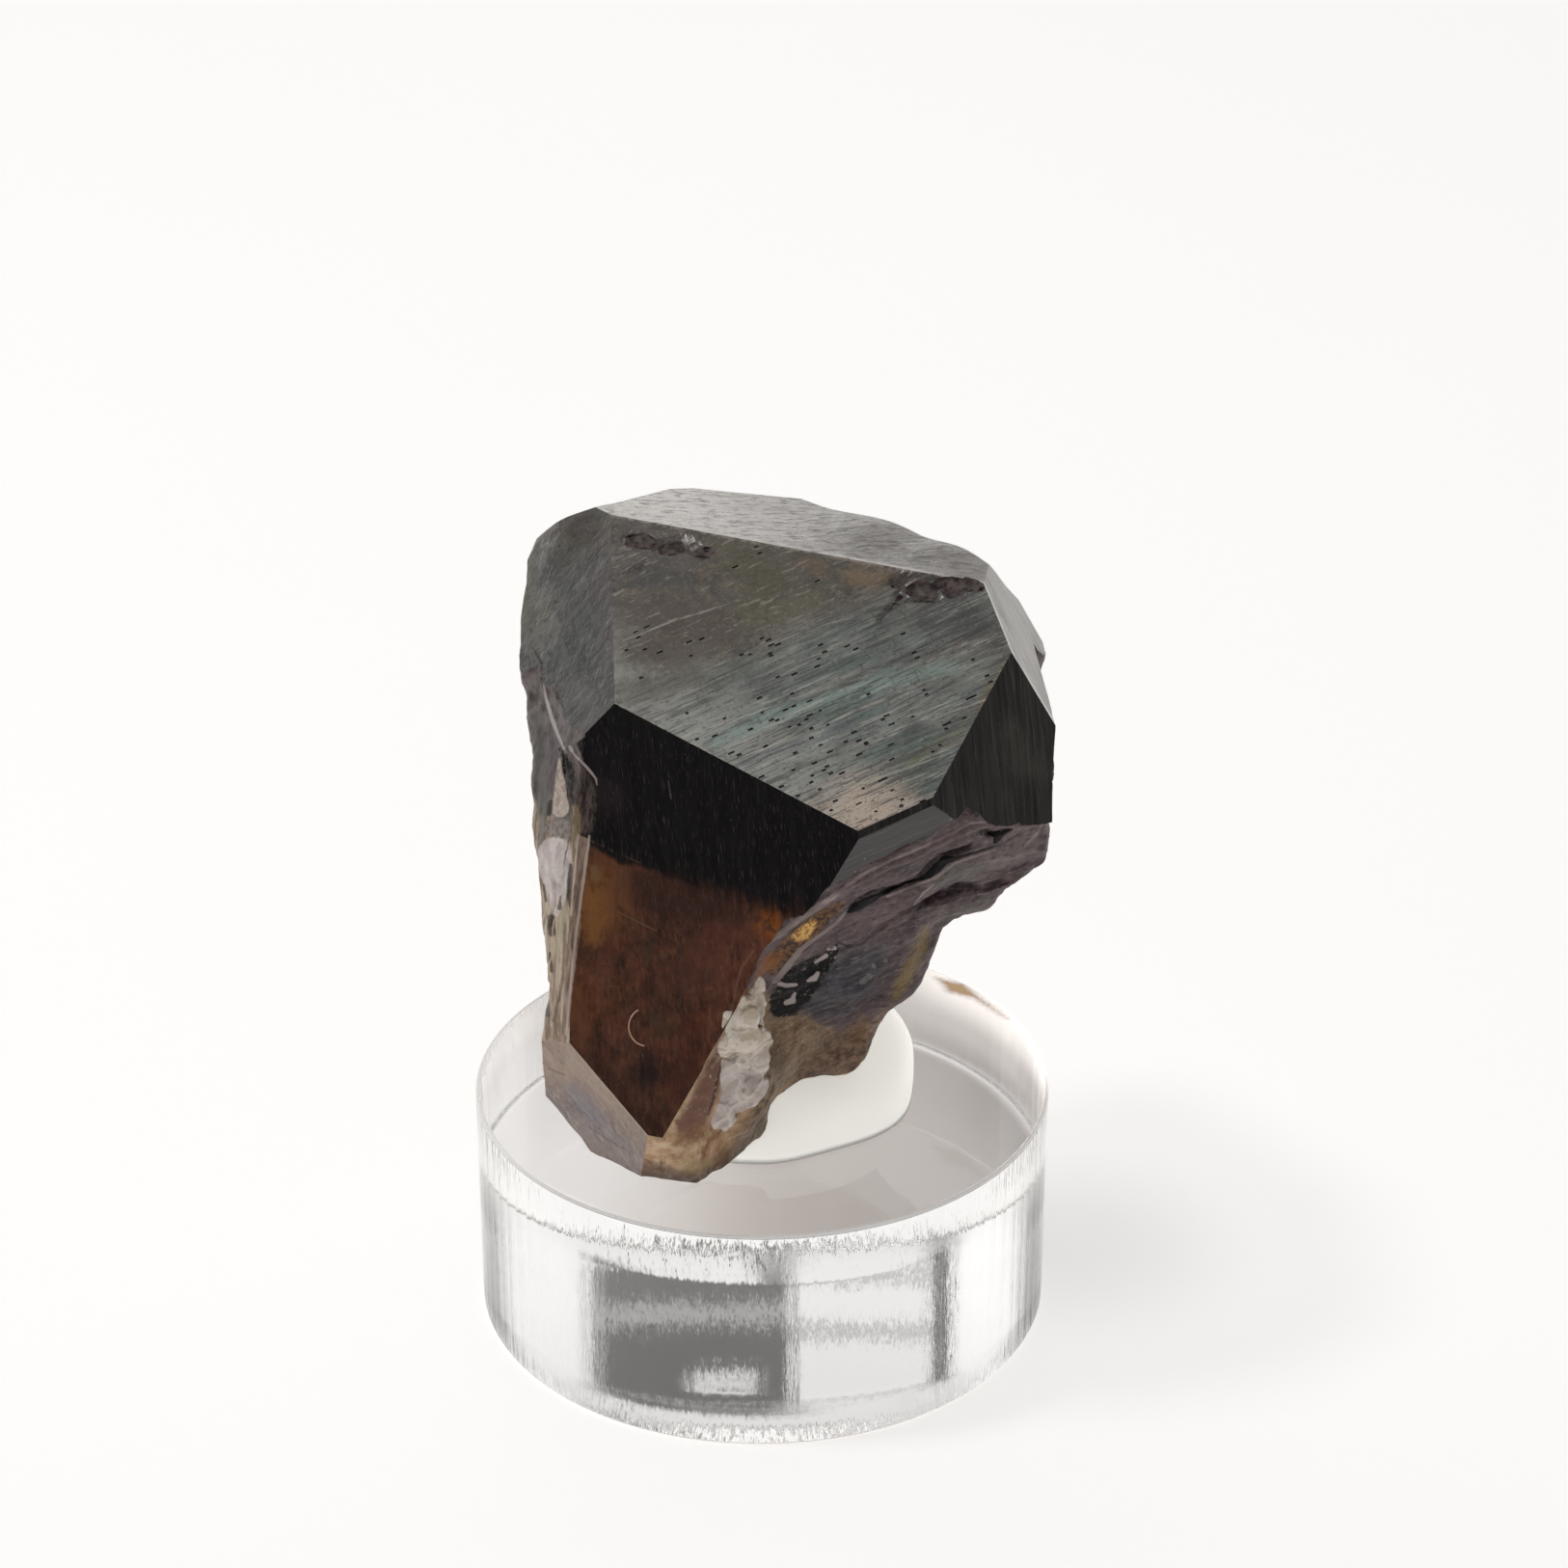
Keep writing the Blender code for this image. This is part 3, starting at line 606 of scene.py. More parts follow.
def window_finish():
    """Left front face: black above, amber and red brown below, with fine upright lines."""
    finish = Finish("window")
    normal = face_normal("front left")
    fine = finish.grain(20.0, 2.0, finish.turned(STEEP_STREAK, normal, 12.0))
    wide = finish.grain(3.0, 3.0, finish.turned(STEEP_STREAK, normal, 8.0))
    patch = finish.grain(0.9, 6.0, rough=0.65)
    cloud = finish.grain(2.0, 5.0, rough=0.6)
    below = finish.reach((-0.263, -0.351, -0.898), (-3.3, -7.5, 23.62))
    below = finish.math("ADD", below, finish.product(finish.wander(0.8), 0.9))
    amber = finish.mix(finish.step(patch, 0.25, 0.75), tone(60, 36, 26), tone(112, 68, 50))
    left = finish.near((-6.4, -6.7, 22.4), 0.3, 2.4, 2.0)
    amber = finish.over(amber, tone(138, 88, 50), left, 0.85)
    lower_left = finish.near((-6.9, -8.2, 18.6), 0.3, 1.9, 1.6)
    amber = finish.over(amber, tone(116, 66, 36), lower_left, 0.5)
    gold = finish.product(finish.near((0.45, -9.82, 22.75), 0.2, 1.15, 0.9), finish.step(cloud, 0.38, 0.58))
    amber = finish.over(amber, tone(176, 100, 30), gold)
    right = finish.near((-0.9, -9.8, 21.6), 0.4, 2.6, 1.6)
    amber = finish.over(amber, tone(118, 70, 54), right, 0.6)
    amber = finish.over(amber, tone(40, 22, 18), finish.step(cloud, 0.46, 0.70), 0.40)
    veil = finish.grain(5.0, 4.0, finish.turned(STEEP_STREAK, normal, 2.5), rough=0.65)
    amber = finish.over(amber, tone(34, 20, 16), finish.step(veil, 0.52, 0.66), 0.45)
    amber = finish.over(amber, tone(136, 92, 66), finish.step(veil, 0.46, 0.36), 0.35)
    amber = with_zones(finish, amber, WINDOW_ZONES, WINDOW_SIGHT)
    upper = finish.product(finish.step(below, 1.9, 0.4), finish.near((-3.2, -8.0, 22.6), 1.0, 3.6, 1.0))
    amber = finish.over(amber, tone(58, 36, 32), upper, 0.55)
    spot = finish.near((-4.3, -10.7, 16.5), 0.1, 1.25, 1.2)
    amber = finish.over(amber, tone(22, 10, 14), spot, 0.9)
    low = finish.step(finish.reach((0.0, 0.0, -1.0), (0.0, 0.0, 16.6)), -1.0, 1.6)
    amber = finish.over(amber, tone(70, 44, 30), low, 0.3)
    shade = finish.mix(cloud, tone(5, 4, 5), tone(20, 16, 18))
    purple = finish.near((-5.9, -4.9, 25.8), 0.2, 1.2, 0.8)
    shade = finish.over(shade, tone(52, 38, 42), purple, 0.5)
    share = finish.step(below, -0.06, 0.22)
    blend = finish.step(finish.reach((0.873, -0.482, -0.067), (-3.9, -7.2, 23.5)), -1.0, 3.5)
    soft = finish.step(
        finish.math("ADD", below, finish.product(finish.math("SUBTRACT", wide, 0.5), 1.6)), -0.5, 0.7,
    )
    colour = finish.mix(
        finish.math("ADD", share, finish.product(blend, finish.math("SUBTRACT", soft, share))), shade,
        amber,
    )
    edge = finish.line((-6.9, -5.3, 24.15), (-4.6, -6.7, 23.75), 0.015, 0.06)
    colour = finish.over(colour, tone(112, 82, 60), edge, finish.step(cloud, 0.35, 0.6), 0.35)
    crack = finish.line((-6.0, -6.9, 22.0), (-4.04, -8.15, 21.59), 0.01, 0.05)
    colour = finish.over(colour, tone(112, 82, 60), crack, finish.step(cloud, 0.40, 0.55))
    lines = finish.step(fine, 0.58, 0.72)
    colour = finish.over(colour, tone(112, 98, 94), lines, 0.34)
    specks = pits(finish, 3.6, 0.045)
    colour = finish.over(colour, tone(200, 180, 160), specks, 0.8)
    colour = with_zones(finish, colour, WINDOW_LINES, WINDOW_SIGHT)
    colour = with_ribbon(finish, colour)
    normal_map = finish.bump(finish.math("ADD", fine, wide), 0.3, 0.010)
    return finish.close(colour, finish.step(wide, 0.3, 0.7, 0.14, 0.24), normal_map, IOR=GARNET_IOR)


KEEL_SIGHT = sight(660, 1160)
KEEL_ZONES = (
    (
        seen((588, 1080, 5.0), (608, 1106, 7.0), (632, 1136, 7.0), (654, 1166, 8.0), (674, 1194, 7.0)),
        0.25, 0.60, tone(156, 134, 116),
    ),
    (seen((572, 1078, 5.0), (582, 1098, 7.0)), 0.30, 0.45, tone(146, 128, 118)),
    (seen((594, 1130, 9.0), (608, 1142, 9.0), (616, 1160, 7.0)), 0.35, 0.65, tone(118, 108, 117)),
    (
        seen((590, 1166, 8.0), (622, 1190, 10.0), (652, 1202, 8.0), (692, 1216, 5.0)), 0.35, 0.60,
        tone(152, 134, 126),
    ),
    (seen((610, 1169, 0.7), (630, 1182, 1.0), (650, 1193, 0.7)), 0.03, 0.65, tone(74, 60, 56)),
    (seen((567, 1107, 0.9), (584, 1114, 0.9)), 0.03, 0.65, tone(78, 62, 56)),
    (seen((622, 1138, 0.8), (634, 1158, 1.2), (641, 1178, 1.0)), 0.05, 0.65, tone(122, 88, 60)),
    (seen((660, 1221, 3.0), (702, 1223, 3.0)), 0.10, 0.60, tone(92, 80, 80)),
)
TIP_ZONES = (
    (seen((728, 1176, 7.0), (750, 1178, 9.0), (742, 1200, 8.0)), 0.35, 0.60, tone(156, 116, 80)),
    (seen((672, 1176, 2.5), (680, 1180, 2.8), (690, 1177, 1.5)), 0.06, 0.75, tone(184, 158, 122)),
    (seen((668, 1187, 0.9), (695, 1189, 1.2), (714, 1194, 0.9)), 0.04, 0.70, tone(206, 180, 154)),
    (seen((686, 1194, 0.7), (706, 1196, 0.9)), 0.04, 0.60, tone(196, 168, 142)),
    (seen((704, 1206, 4.0), (720, 1209, 6.0), (736, 1206, 3.0)), 0.15, 0.65, tone(172, 148, 108)),
    (
        seen((672, 1219, 3.5), (702, 1221, 3.5), (726, 1224, 4.0), (752, 1210, 4.5), (782, 1192, 4.5)),
        0.15, 0.65, tone(92, 80, 77),
    ),
    (seen((766, 1178, 7.0), (788, 1162, 8.0)), 0.30, 0.55, tone(112, 92, 78)),
    (
        seen((746, 1092, 2.0), (736, 1118, 7.0), (722, 1146, 8.0), (710, 1164, 7.0)), 0.15, 0.75,
        tone(128, 92, 79),
    ),
    (seen((722, 1172, 5.0), (702, 1182, 5.0)), 0.20, 0.65, tone(140, 102, 68)),
    (
        seen((752, 1088, 1.0), (745, 1112, 1.2), (740, 1136, 1.2), (734, 1156, 0.9)), 0.04, 0.75,
        tone(56, 36, 28),
    ),
    (seen((748, 1074, 1.0), (747, 1094, 1.4), (737, 1108, 1.2)), 0.05, 0.60, tone(166, 140, 130)),
    (seen((781, 1004, 7.0), (786, 1020, 8.0), (778, 1034, 4.0)), 0.20, 0.75, tone(146, 98, 56)),
    (seen((800, 1060, 6.0), (806, 1086, 7.0), (810, 1110, 7.0)), 0.25, 0.45, tone(92, 74, 58)),
)


def keel_finish():
    """Lower left face: grey lilac, beige along the edge of the amber window."""
    finish = Finish("keel")
    normal = face_normal("lower left")
    edge_run = (0.75, -0.62, -0.50)
    fine, wide = striated(finish, edge_run, normal, 3.0, 8.0)
    patch = finish.grain(0.7, 5.0, rough=0.65)
    colour = finish.mix(patch, tone(112, 96, 94), tone(140, 122, 116))
    colour = finish.over(colour, tone(108, 102, 108), finish.step(wide, 0.50, 0.66))
    near_edge = finish.math(
        "ADD", finish.reach((0.35, 0.45, 0.82), (-6.86, -9.1, 15.2)),
        finish.product(finish.wander(1.2), 0.8),
    )
    grit = finish.grain(3.0, 5.0, rough=0.7)
    colour = finish.over(colour, tone(176, 156, 146), finish.step(grit, 0.52, 0.64), 0.5)
    colour = finish.over(colour, tone(92, 74, 66), finish.step(grit, 0.48, 0.38), 0.5)
    beige = finish.step(near_edge, -1.3, 0.1)
    colour = finish.over(colour, tone(164, 134, 110), beige, 0.85)
    colour = with_zones(finish, colour, KEEL_ZONES, KEEL_SIGHT)
    colour = finish.over(colour, tone(178, 160, 150), finish.step(grit, 0.54, 0.66), 0.30)
    colour = finish.over(colour, tone(84, 70, 66), finish.step(grit, 0.46, 0.36), 0.30)
    dark = finish.step(fine, 0.60, 0.70)
    colour = finish.over(colour, tone(66, 52, 46), dark, 0.5)
    light = finish.step(fine, 0.42, 0.34)
    colour = finish.over(colour, tone(164, 146, 134), light, 0.4)
    # Painted highlight: a thin light line along the edge with the window.
    edge = finish.product(finish.along_edge("front left", 0.02, 0.10), finish.step(patch, 0.35, 0.55))
    colour = finish.over(colour, tone(196, 172, 152), edge, 0.7)
    under = finish.math(
        "ADD", finish.reach((0.2, -0.3, -0.93), (-3.0, -11.6, 12.9)),
        finish.product(finish.wander(1.5), 0.5),
    )
    colour = finish.over(colour, tone(86, 70, 60), finish.step(under, -0.35, 0.25), 0.15)
    normal_map = finish.bump(finish.math("ADD", fine, patch), 0.6, 0.05)
    return finish.close(
        colour, finish.step(patch, 0.3, 0.7, 0.36, 0.55), normal_map, IOR=GARNET_IOR,
        Specular_IOR_Level=0.3,
    )


def dark_side_finish():
    """Right front face: near black with upright striations."""
    finish = Finish("dark_side")
    fine, wide = striated(finish, STEEP_STREAK, face_normal("front right"), 8.0, 22.0)
    patch = finish.grain(0.8, 4.0)
    colour = finish.mix(patch, tone(26, 25, 24), tone(60, 58, 55))
    colour = finish.over(colour, tone(94, 90, 84), finish.step(fine, 0.54, 0.72), 0.6)
    colour = finish.over(colour, tone(12, 12, 11), finish.step(fine, 0.47, 0.36), 0.7)
    glow = finish.band(seen((1046, 752, 8.0), (1058, 790, 13.0), (1078, 800, 8.0)), 0.5, 0.8, CROWN_SIGHT)
    colour = finish.over(colour, tone(84, 78, 72), glow, 0.5)
    specks = pits(finish, 3.4, 0.05)
    colour = finish.over(colour, tone(170, 160, 150), specks, 0.7)
    normal_map = finish.bump(finish.math("ADD", fine, wide), 0.5, 0.016)
    return finish.close(colour, finish.step(wide, 0.3, 0.7, 0.20, 0.32), normal_map, IOR=GARNET_IOR)


def narrow_front_finish():
    """Narrow front face beside the big amber one: grey with a purple cast, streaked."""
    finish = Finish("narrow_front")
    fine, wide = striated(finish, LONG_STREAK, face_normal("front"), 7.0, 22.0)
    colour = finish.mix(wide, tone(34, 28, 28), tone(60, 52, 52))
    colour = finish.over(colour, tone(100, 92, 90), finish.step(fine, 0.54, 0.70), 0.7)
    colour = finish.over(colour, tone(18, 15, 15), finish.step(fine, 0.46, 0.36), 0.7)
    specks = pits(finish, 2.6, 0.07)
    colour = finish.over(colour, tone(200, 190, 184), specks, 0.8)
    normal_map = finish.bump(finish.math("ADD", fine, wide), 0.5, 0.016)
    return finish.close(
        colour, finish.step(wide, 0.3, 0.7, 0.28, 0.42), normal_map, IOR=GARNET_IOR,
        Specular_IOR_Level=0.35,
    )


SHOULDER_SIGHT = sight(590, 640)
SHOULDER_ZONES = (
    (seen((572, 545, 9.0), (602, 540, 11.0), (626, 560, 8.0)), 0.45, 0.60, tone(68, 54, 47)),
    (seen((552, 560, 5.0), (542, 600, 7.0), (545, 640, 6.0)), 0.35, 0.60, tone(98, 96, 68)),
    (seen((580, 600, 13.0), (600, 640, 15.0), (592, 672, 12.0)), 0.60, 0.80, tone(44, 46, 48)),
    (seen((577, 632, 2.5), (582, 640, 4.0)), 0.12, 0.70, tone(26, 26, 28)),
    (seen((612, 648, 3.0), (618, 656, 4.0)), 0.12, 0.70, tone(28, 27, 29)),
    (seen((586, 668, 3.0), (600, 676, 4.0), (612, 690, 2.0)), 0.15, 0.55, tone(34, 33, 34)),
    (seen((626, 590, 5.0), (631, 650, 7.0), (629, 706, 6.0)), 0.35, 0.50, tone(84, 72, 72)),
    (seen((598, 712, 10.0), (612, 742, 7.0)), 0.40, 0.50, tone(90, 80, 81)),
)


def mottled_side_finish():
    """Left shoulder: mottled grey green, darker pits, brown towards the top."""
    finish = Finish("mottled_side")
    patch = finish.grain(0.9, 6.0, rough=0.7)
    blot = finish.grain(2.4, 5.0, rough=0.6)
    smudge = finish.grain(1.3, 4.0, rough=0.6)
    colour = finish.mix(finish.step(patch, 0.3, 0.7), tone(36, 37, 34), tone(94, 95, 91))
    brown = finish.step(
        finish.math("ADD", finish.reach((0, 0, 1), (0, 0, 31.2)), finish.product(finish.wander(), 1.6)),
        -0.5, 1.6,
    )
    colour = finish.over(colour, tone(96, 88, 68), brown, 0.5)
    purple = finish.step(
        finish.math("ADD", finish.reach((0, 0, -1), (0, 0, 28.4)), finish.product(finish.wander(), 1.4)),
        -0.5, 1.2,
    )
    colour = finish.over(colour, tone(98, 88, 86), purple, 0.6)
    inner = finish.near((-6.6, 2.0, 31.6), 0.8, 2.8, 1.2)
    colour = finish.over(colour, tone(58, 50, 46), inner, 0.7)
    outer = finish.near((-8.6, 3.0, 30.2), 0.6, 2.8, 1.2)
    colour = finish.over(colour, tone(116, 112, 98), outer, 0.6)
    colour = finish.over(colour, tone(32, 34, 35), finish.step(blot, 0.54, 0.64), 0.65)
    colour = finish.over(colour, tone(124, 124, 118), finish.step(blot, 0.42, 0.34), 0.4)
    colour = finish.over(colour, tone(44, 46, 46), finish.step(smudge, 0.56, 0.66), 0.5)
    colour = finish.over(colour, tone(112, 108, 100), finish.step(smudge, 0.44, 0.34), 0.35)
    colour = with_zones(finish, colour, SHOULDER_ZONES, SHOULDER_SIGHT)
    hole = pits(finish, 1.5, 0.18)
    colour = finish.over(colour, tone(26, 25, 25), hole, 0.8)
    height = finish.math("SUBTRACT", finish.math("ADD", patch, blot), hole)
    return finish.close(
        colour, finish.step(blot, 0.3, 0.7, 0.30, 0.50), finish.bump(height, 0.7, 0.06), IOR=GARNET_IOR,
    )


def crown_back_finish():
    """Growth faces on the far side: dark green brown with striations and a teal cast."""
    finish = Finish("crown_back")
    fine, wide = striated(finish, SIDE_STREAK, face_normal("back right"), 6.0, 18.0)
    patch = finish.grain(0.4, 5.0)
    colour = finish.mix(patch, tone(36, 34, 27), tone(76, 76, 68))
    colour = finish.over(colour, tone(56, 80, 78), finish.step(wide, 0.5, 0.66), 0.6)
    colour = finish.over(colour, tone(118, 114, 104), finish.step(fine, 0.54, 0.70), 0.6)
    colour = finish.over(colour, tone(22, 20, 18), finish.step(fine, 0.46, 0.34), 0.6)
    hole = pits(finish, 1.9, 0.13)
    colour = finish.over(colour, tone(16, 14, 14), hole)
    height = finish.math("SUBTRACT", fine, hole)
    return finish.close(
        colour, finish.step(patch, 0.3, 0.7, 0.24, 0.40), finish.bump(height, 0.5, 0.02), IOR=GARNET_IOR,
    )


def tip_colour(finish):
    """Lower tip, flank and bevel: beige and orange layers, olive brown on the flank."""
    layers = finish.grain(1.8, 6.0, finish.turned((0.8, 0.2, 0.5), TIP_CUT, 1.8), rough=0.65)
    patch = finish.grain(1.2, 5.0)
    speckle = finish.grain(2.4, 6.0, rough=0.75)
    colour = finish.mix(finish.step(layers, 0.3, 0.7), tone(168, 128, 98), tone(224, 194, 160))
    colour = finish.over(colour, tone(96, 66, 44), finish.step(patch, 0.52, 0.64), 0.7)
    under = finish.math(
        "ADD", finish.reach((0.0, -0.2, -0.98), (-2.3, -11.4, 12.8)),
        finish.product(finish.wander(1.5), 0.5),
    )
    colour = finish.over(colour, tone(88, 70, 58), finish.step(under, -0.5, 0.1), 0.7)
    pink = finish.line((-2.6, -11.6, 14.9), (-0.9, -10.9, 18.6), 0.3, 0.9)
    blush = finish.mix(finish.step(patch, 0.35, 0.65), tone(98, 68, 58), tone(138, 106, 94))
    colour = finish.over(colour, blush, pink, 0.85)
    ember = finish.line((-0.5, -10.9, 20.3), (0.2, -10.2, 21.6), 0.3, 0.8)
    colour = finish.over(colour, tone(156, 94, 40), ember, 0.85)
    olive = finish.math(
        "ADD", finish.reach((0.844, -0.508, -0.170), (0.2, -8.0, 16.0)), finish.product(finish.wander(), 0.5)
    )
    olive = finish.product(
        finish.step(olive, -0.7, -0.1), finish.step(finish.reach((1, 0, 0), (-0.9, 0, 0)), 0.0, 0.8),
    )
    moss = finish.mix(finish.step(speckle, 0.34, 0.66), tone(82, 66, 52), tone(158, 134, 108))
    colour = finish.over(colour, moss, olive, 0.9)
    colour = with_zones(finish, colour, TIP_ZONES, KEEL_SIGHT)
    fleck = finish.step(finish.grain(5.0, 3.0, rough=0.7), 0.62, 0.70)
    return finish.mix(finish.product(fleck, 0.6), colour, tone(206, 196, 184))


# Features of the front break, in pixels of the photograph: place and half width
FRONT_SIGHT = sight(940, 960)
RIDGE = seen(
    (1084, 849, 1.4), (1060, 851, 1.2), (1040, 853, 1.0), (1004, 856, 1.0), (986, 867, 1.4), (960, 879, 1.4),
    (930, 892, 1.2), (900, 906, 1.4), (880, 920, 1.6), (862, 934, 2.6), (840, 948, 3.0), (815, 966, 2.6),
    (796, 980, 2.0),
)
SHELF_EDGE = seen((1082, 852, 0.8), (1074, 866, 1.2), (1062, 878, 0.8))
WEDGE = seen(
    (1032, 878, 0.5), (1010, 885, 1.0), (991, 891, 1.8), (979, 893, 4.2), (971, 901, 4.6), (963, 908, 3.6),
    (955, 912, 1.6), (940, 915, 1.4), (925, 922, 2.2), (912, 929, 2.4), (900, 935, 4.0), (888, 941, 4.5),
    (880, 946, 1.0),
)
NOTCH = seen((1024, 865, 1.6), (1034, 867, 4.2), (1031, 874, 2.0), (1040, 864, 2.4), (1048, 861, 0.8))
WEDGE_LIP = seen(
    (1032, 882, 0.8), (1010, 889, 0.9), (990, 896, 1.0), (970, 911, 1.4), (950, 918, 1.0), (920, 930, 1.0),
)
HOLLOW = seen(
    (946, 949, 0.8), (954, 942, 1.8), (963, 935, 4.6), (975, 931, 7.6), (988, 929, 5.5), (1002, 926, 3.4),
    (1015, 924, 2.2), (1030, 922, 1.6), (1046, 915, 1.0),
)
HOLLOW_LIP = seen((948, 938, 0.6), (958, 926, 1.0), (968, 918, 0.8))
SEAM = seen((868, 976, 0.8), (880, 982, 1.4), (893, 979, 1.2), (906, 969, 1.6), (921, 960, 1.0))
SECOND_RIB = seen(
    (880, 944, 1.0), (868, 958, 1.6), (850, 971, 1.4), (832, 984, 2.4), (818, 1002, 3.0), (804, 1018, 2.0),
)
BETWEEN_RIBS = seen((874, 938, 3.0), (856, 950, 7.0), (838, 966, 9.0), (818, 984, 9.0), (802, 1003, 7.0))
GOLD = seen((846, 957, 3.0), (837, 966, 6.0), (830, 971, 5.0))
SPARKS = seen(
    (806, 1047, 8.0), (816, 1038, 16.0), (832, 1018, 17.0), (848, 1003, 12.0), (862, 991, 6.0),
    (868, 982, 2.0),
)
# Painted glints on the black zone: chains of places with half widths.
PAINTED_GLINTS = (
    seen((859, 984, 1.3), (866, 983, 1.8)), seen((846, 998, 1.2), (857, 991, 1.8)),
    seen((872, 986, 0.8), (877, 980, 1.4)),
    seen((866, 993, 1.0), (873, 991, 1.3)), seen((838, 1017, 1.2), (845, 1014, 3.0), (848, 1009, 2.0)),
    seen((807, 1019, 1.6), (815, 1022, 2.2), (826, 1021, 1.4)),
    seen((815, 1040, 2.4), (821, 1038, 3.2), (824, 1030, 1.2)),
    seen((793, 1030, 1.0), (796, 1024, 1.2)), seen((834, 1064, 1.3), (834, 1072, 1.5)),
)
# Painted highlights: small light dots on the front break.
PAINTED_HIGHLIGHT_DOTS = (
    seen((905, 1001, 1.8), (906, 1003, 1.8)), seen((917, 997, 1.4), (919, 996, 1.4)),
    seen((893, 1019, 2.5), (901, 1013, 3.0)),
)

# Zones of the front break: chain, blur, share and colour
FRONT_ZONES = (
    (seen((1030, 892, 9.0), (1055, 882, 9.0), (1070, 872, 7.0)), 0.30, 0.75, tone(124, 113, 112)),
    (seen((975, 914, 7.0), (992, 905, 9.0), (1012, 902, 8.0)), 0.25, 0.75, tone(106, 103, 99)),
    (
        seen((900, 914, 5.0), (930, 903, 9.0), (962, 894, 8.0), (990, 880, 8.0), (1012, 868, 5.0)), 0.20,
        0.75, tone(82, 70, 71),
    ),
    (seen((928, 905, 2.5), (940, 903, 4.5)), 0.15, 0.60, tone(52, 40, 43)),
    (seen((885, 962, 7.0), (905, 952, 9.0), (930, 940, 8.0)), 0.30, 0.75, tone(104, 86, 88)),
    (seen((975, 955, 8.0), (1005, 941, 7.0), (1035, 930, 4.0)), 0.25, 0.60, tone(98, 93, 90)),
    (seen((1048, 912, 2.5), (1042, 917, 2.0)), 0.15, 0.60, tone(92, 66, 54)),
)
VIOLET = seen((932, 975, 7.0), (925, 1000, 8.0), (905, 1040, 7.0), (880, 1066, 6.0))
OLIVE_RIM = seen((960, 965, 4.0), (954, 985, 6.5), (942, 1008, 6.5), (928, 1034, 5.0))


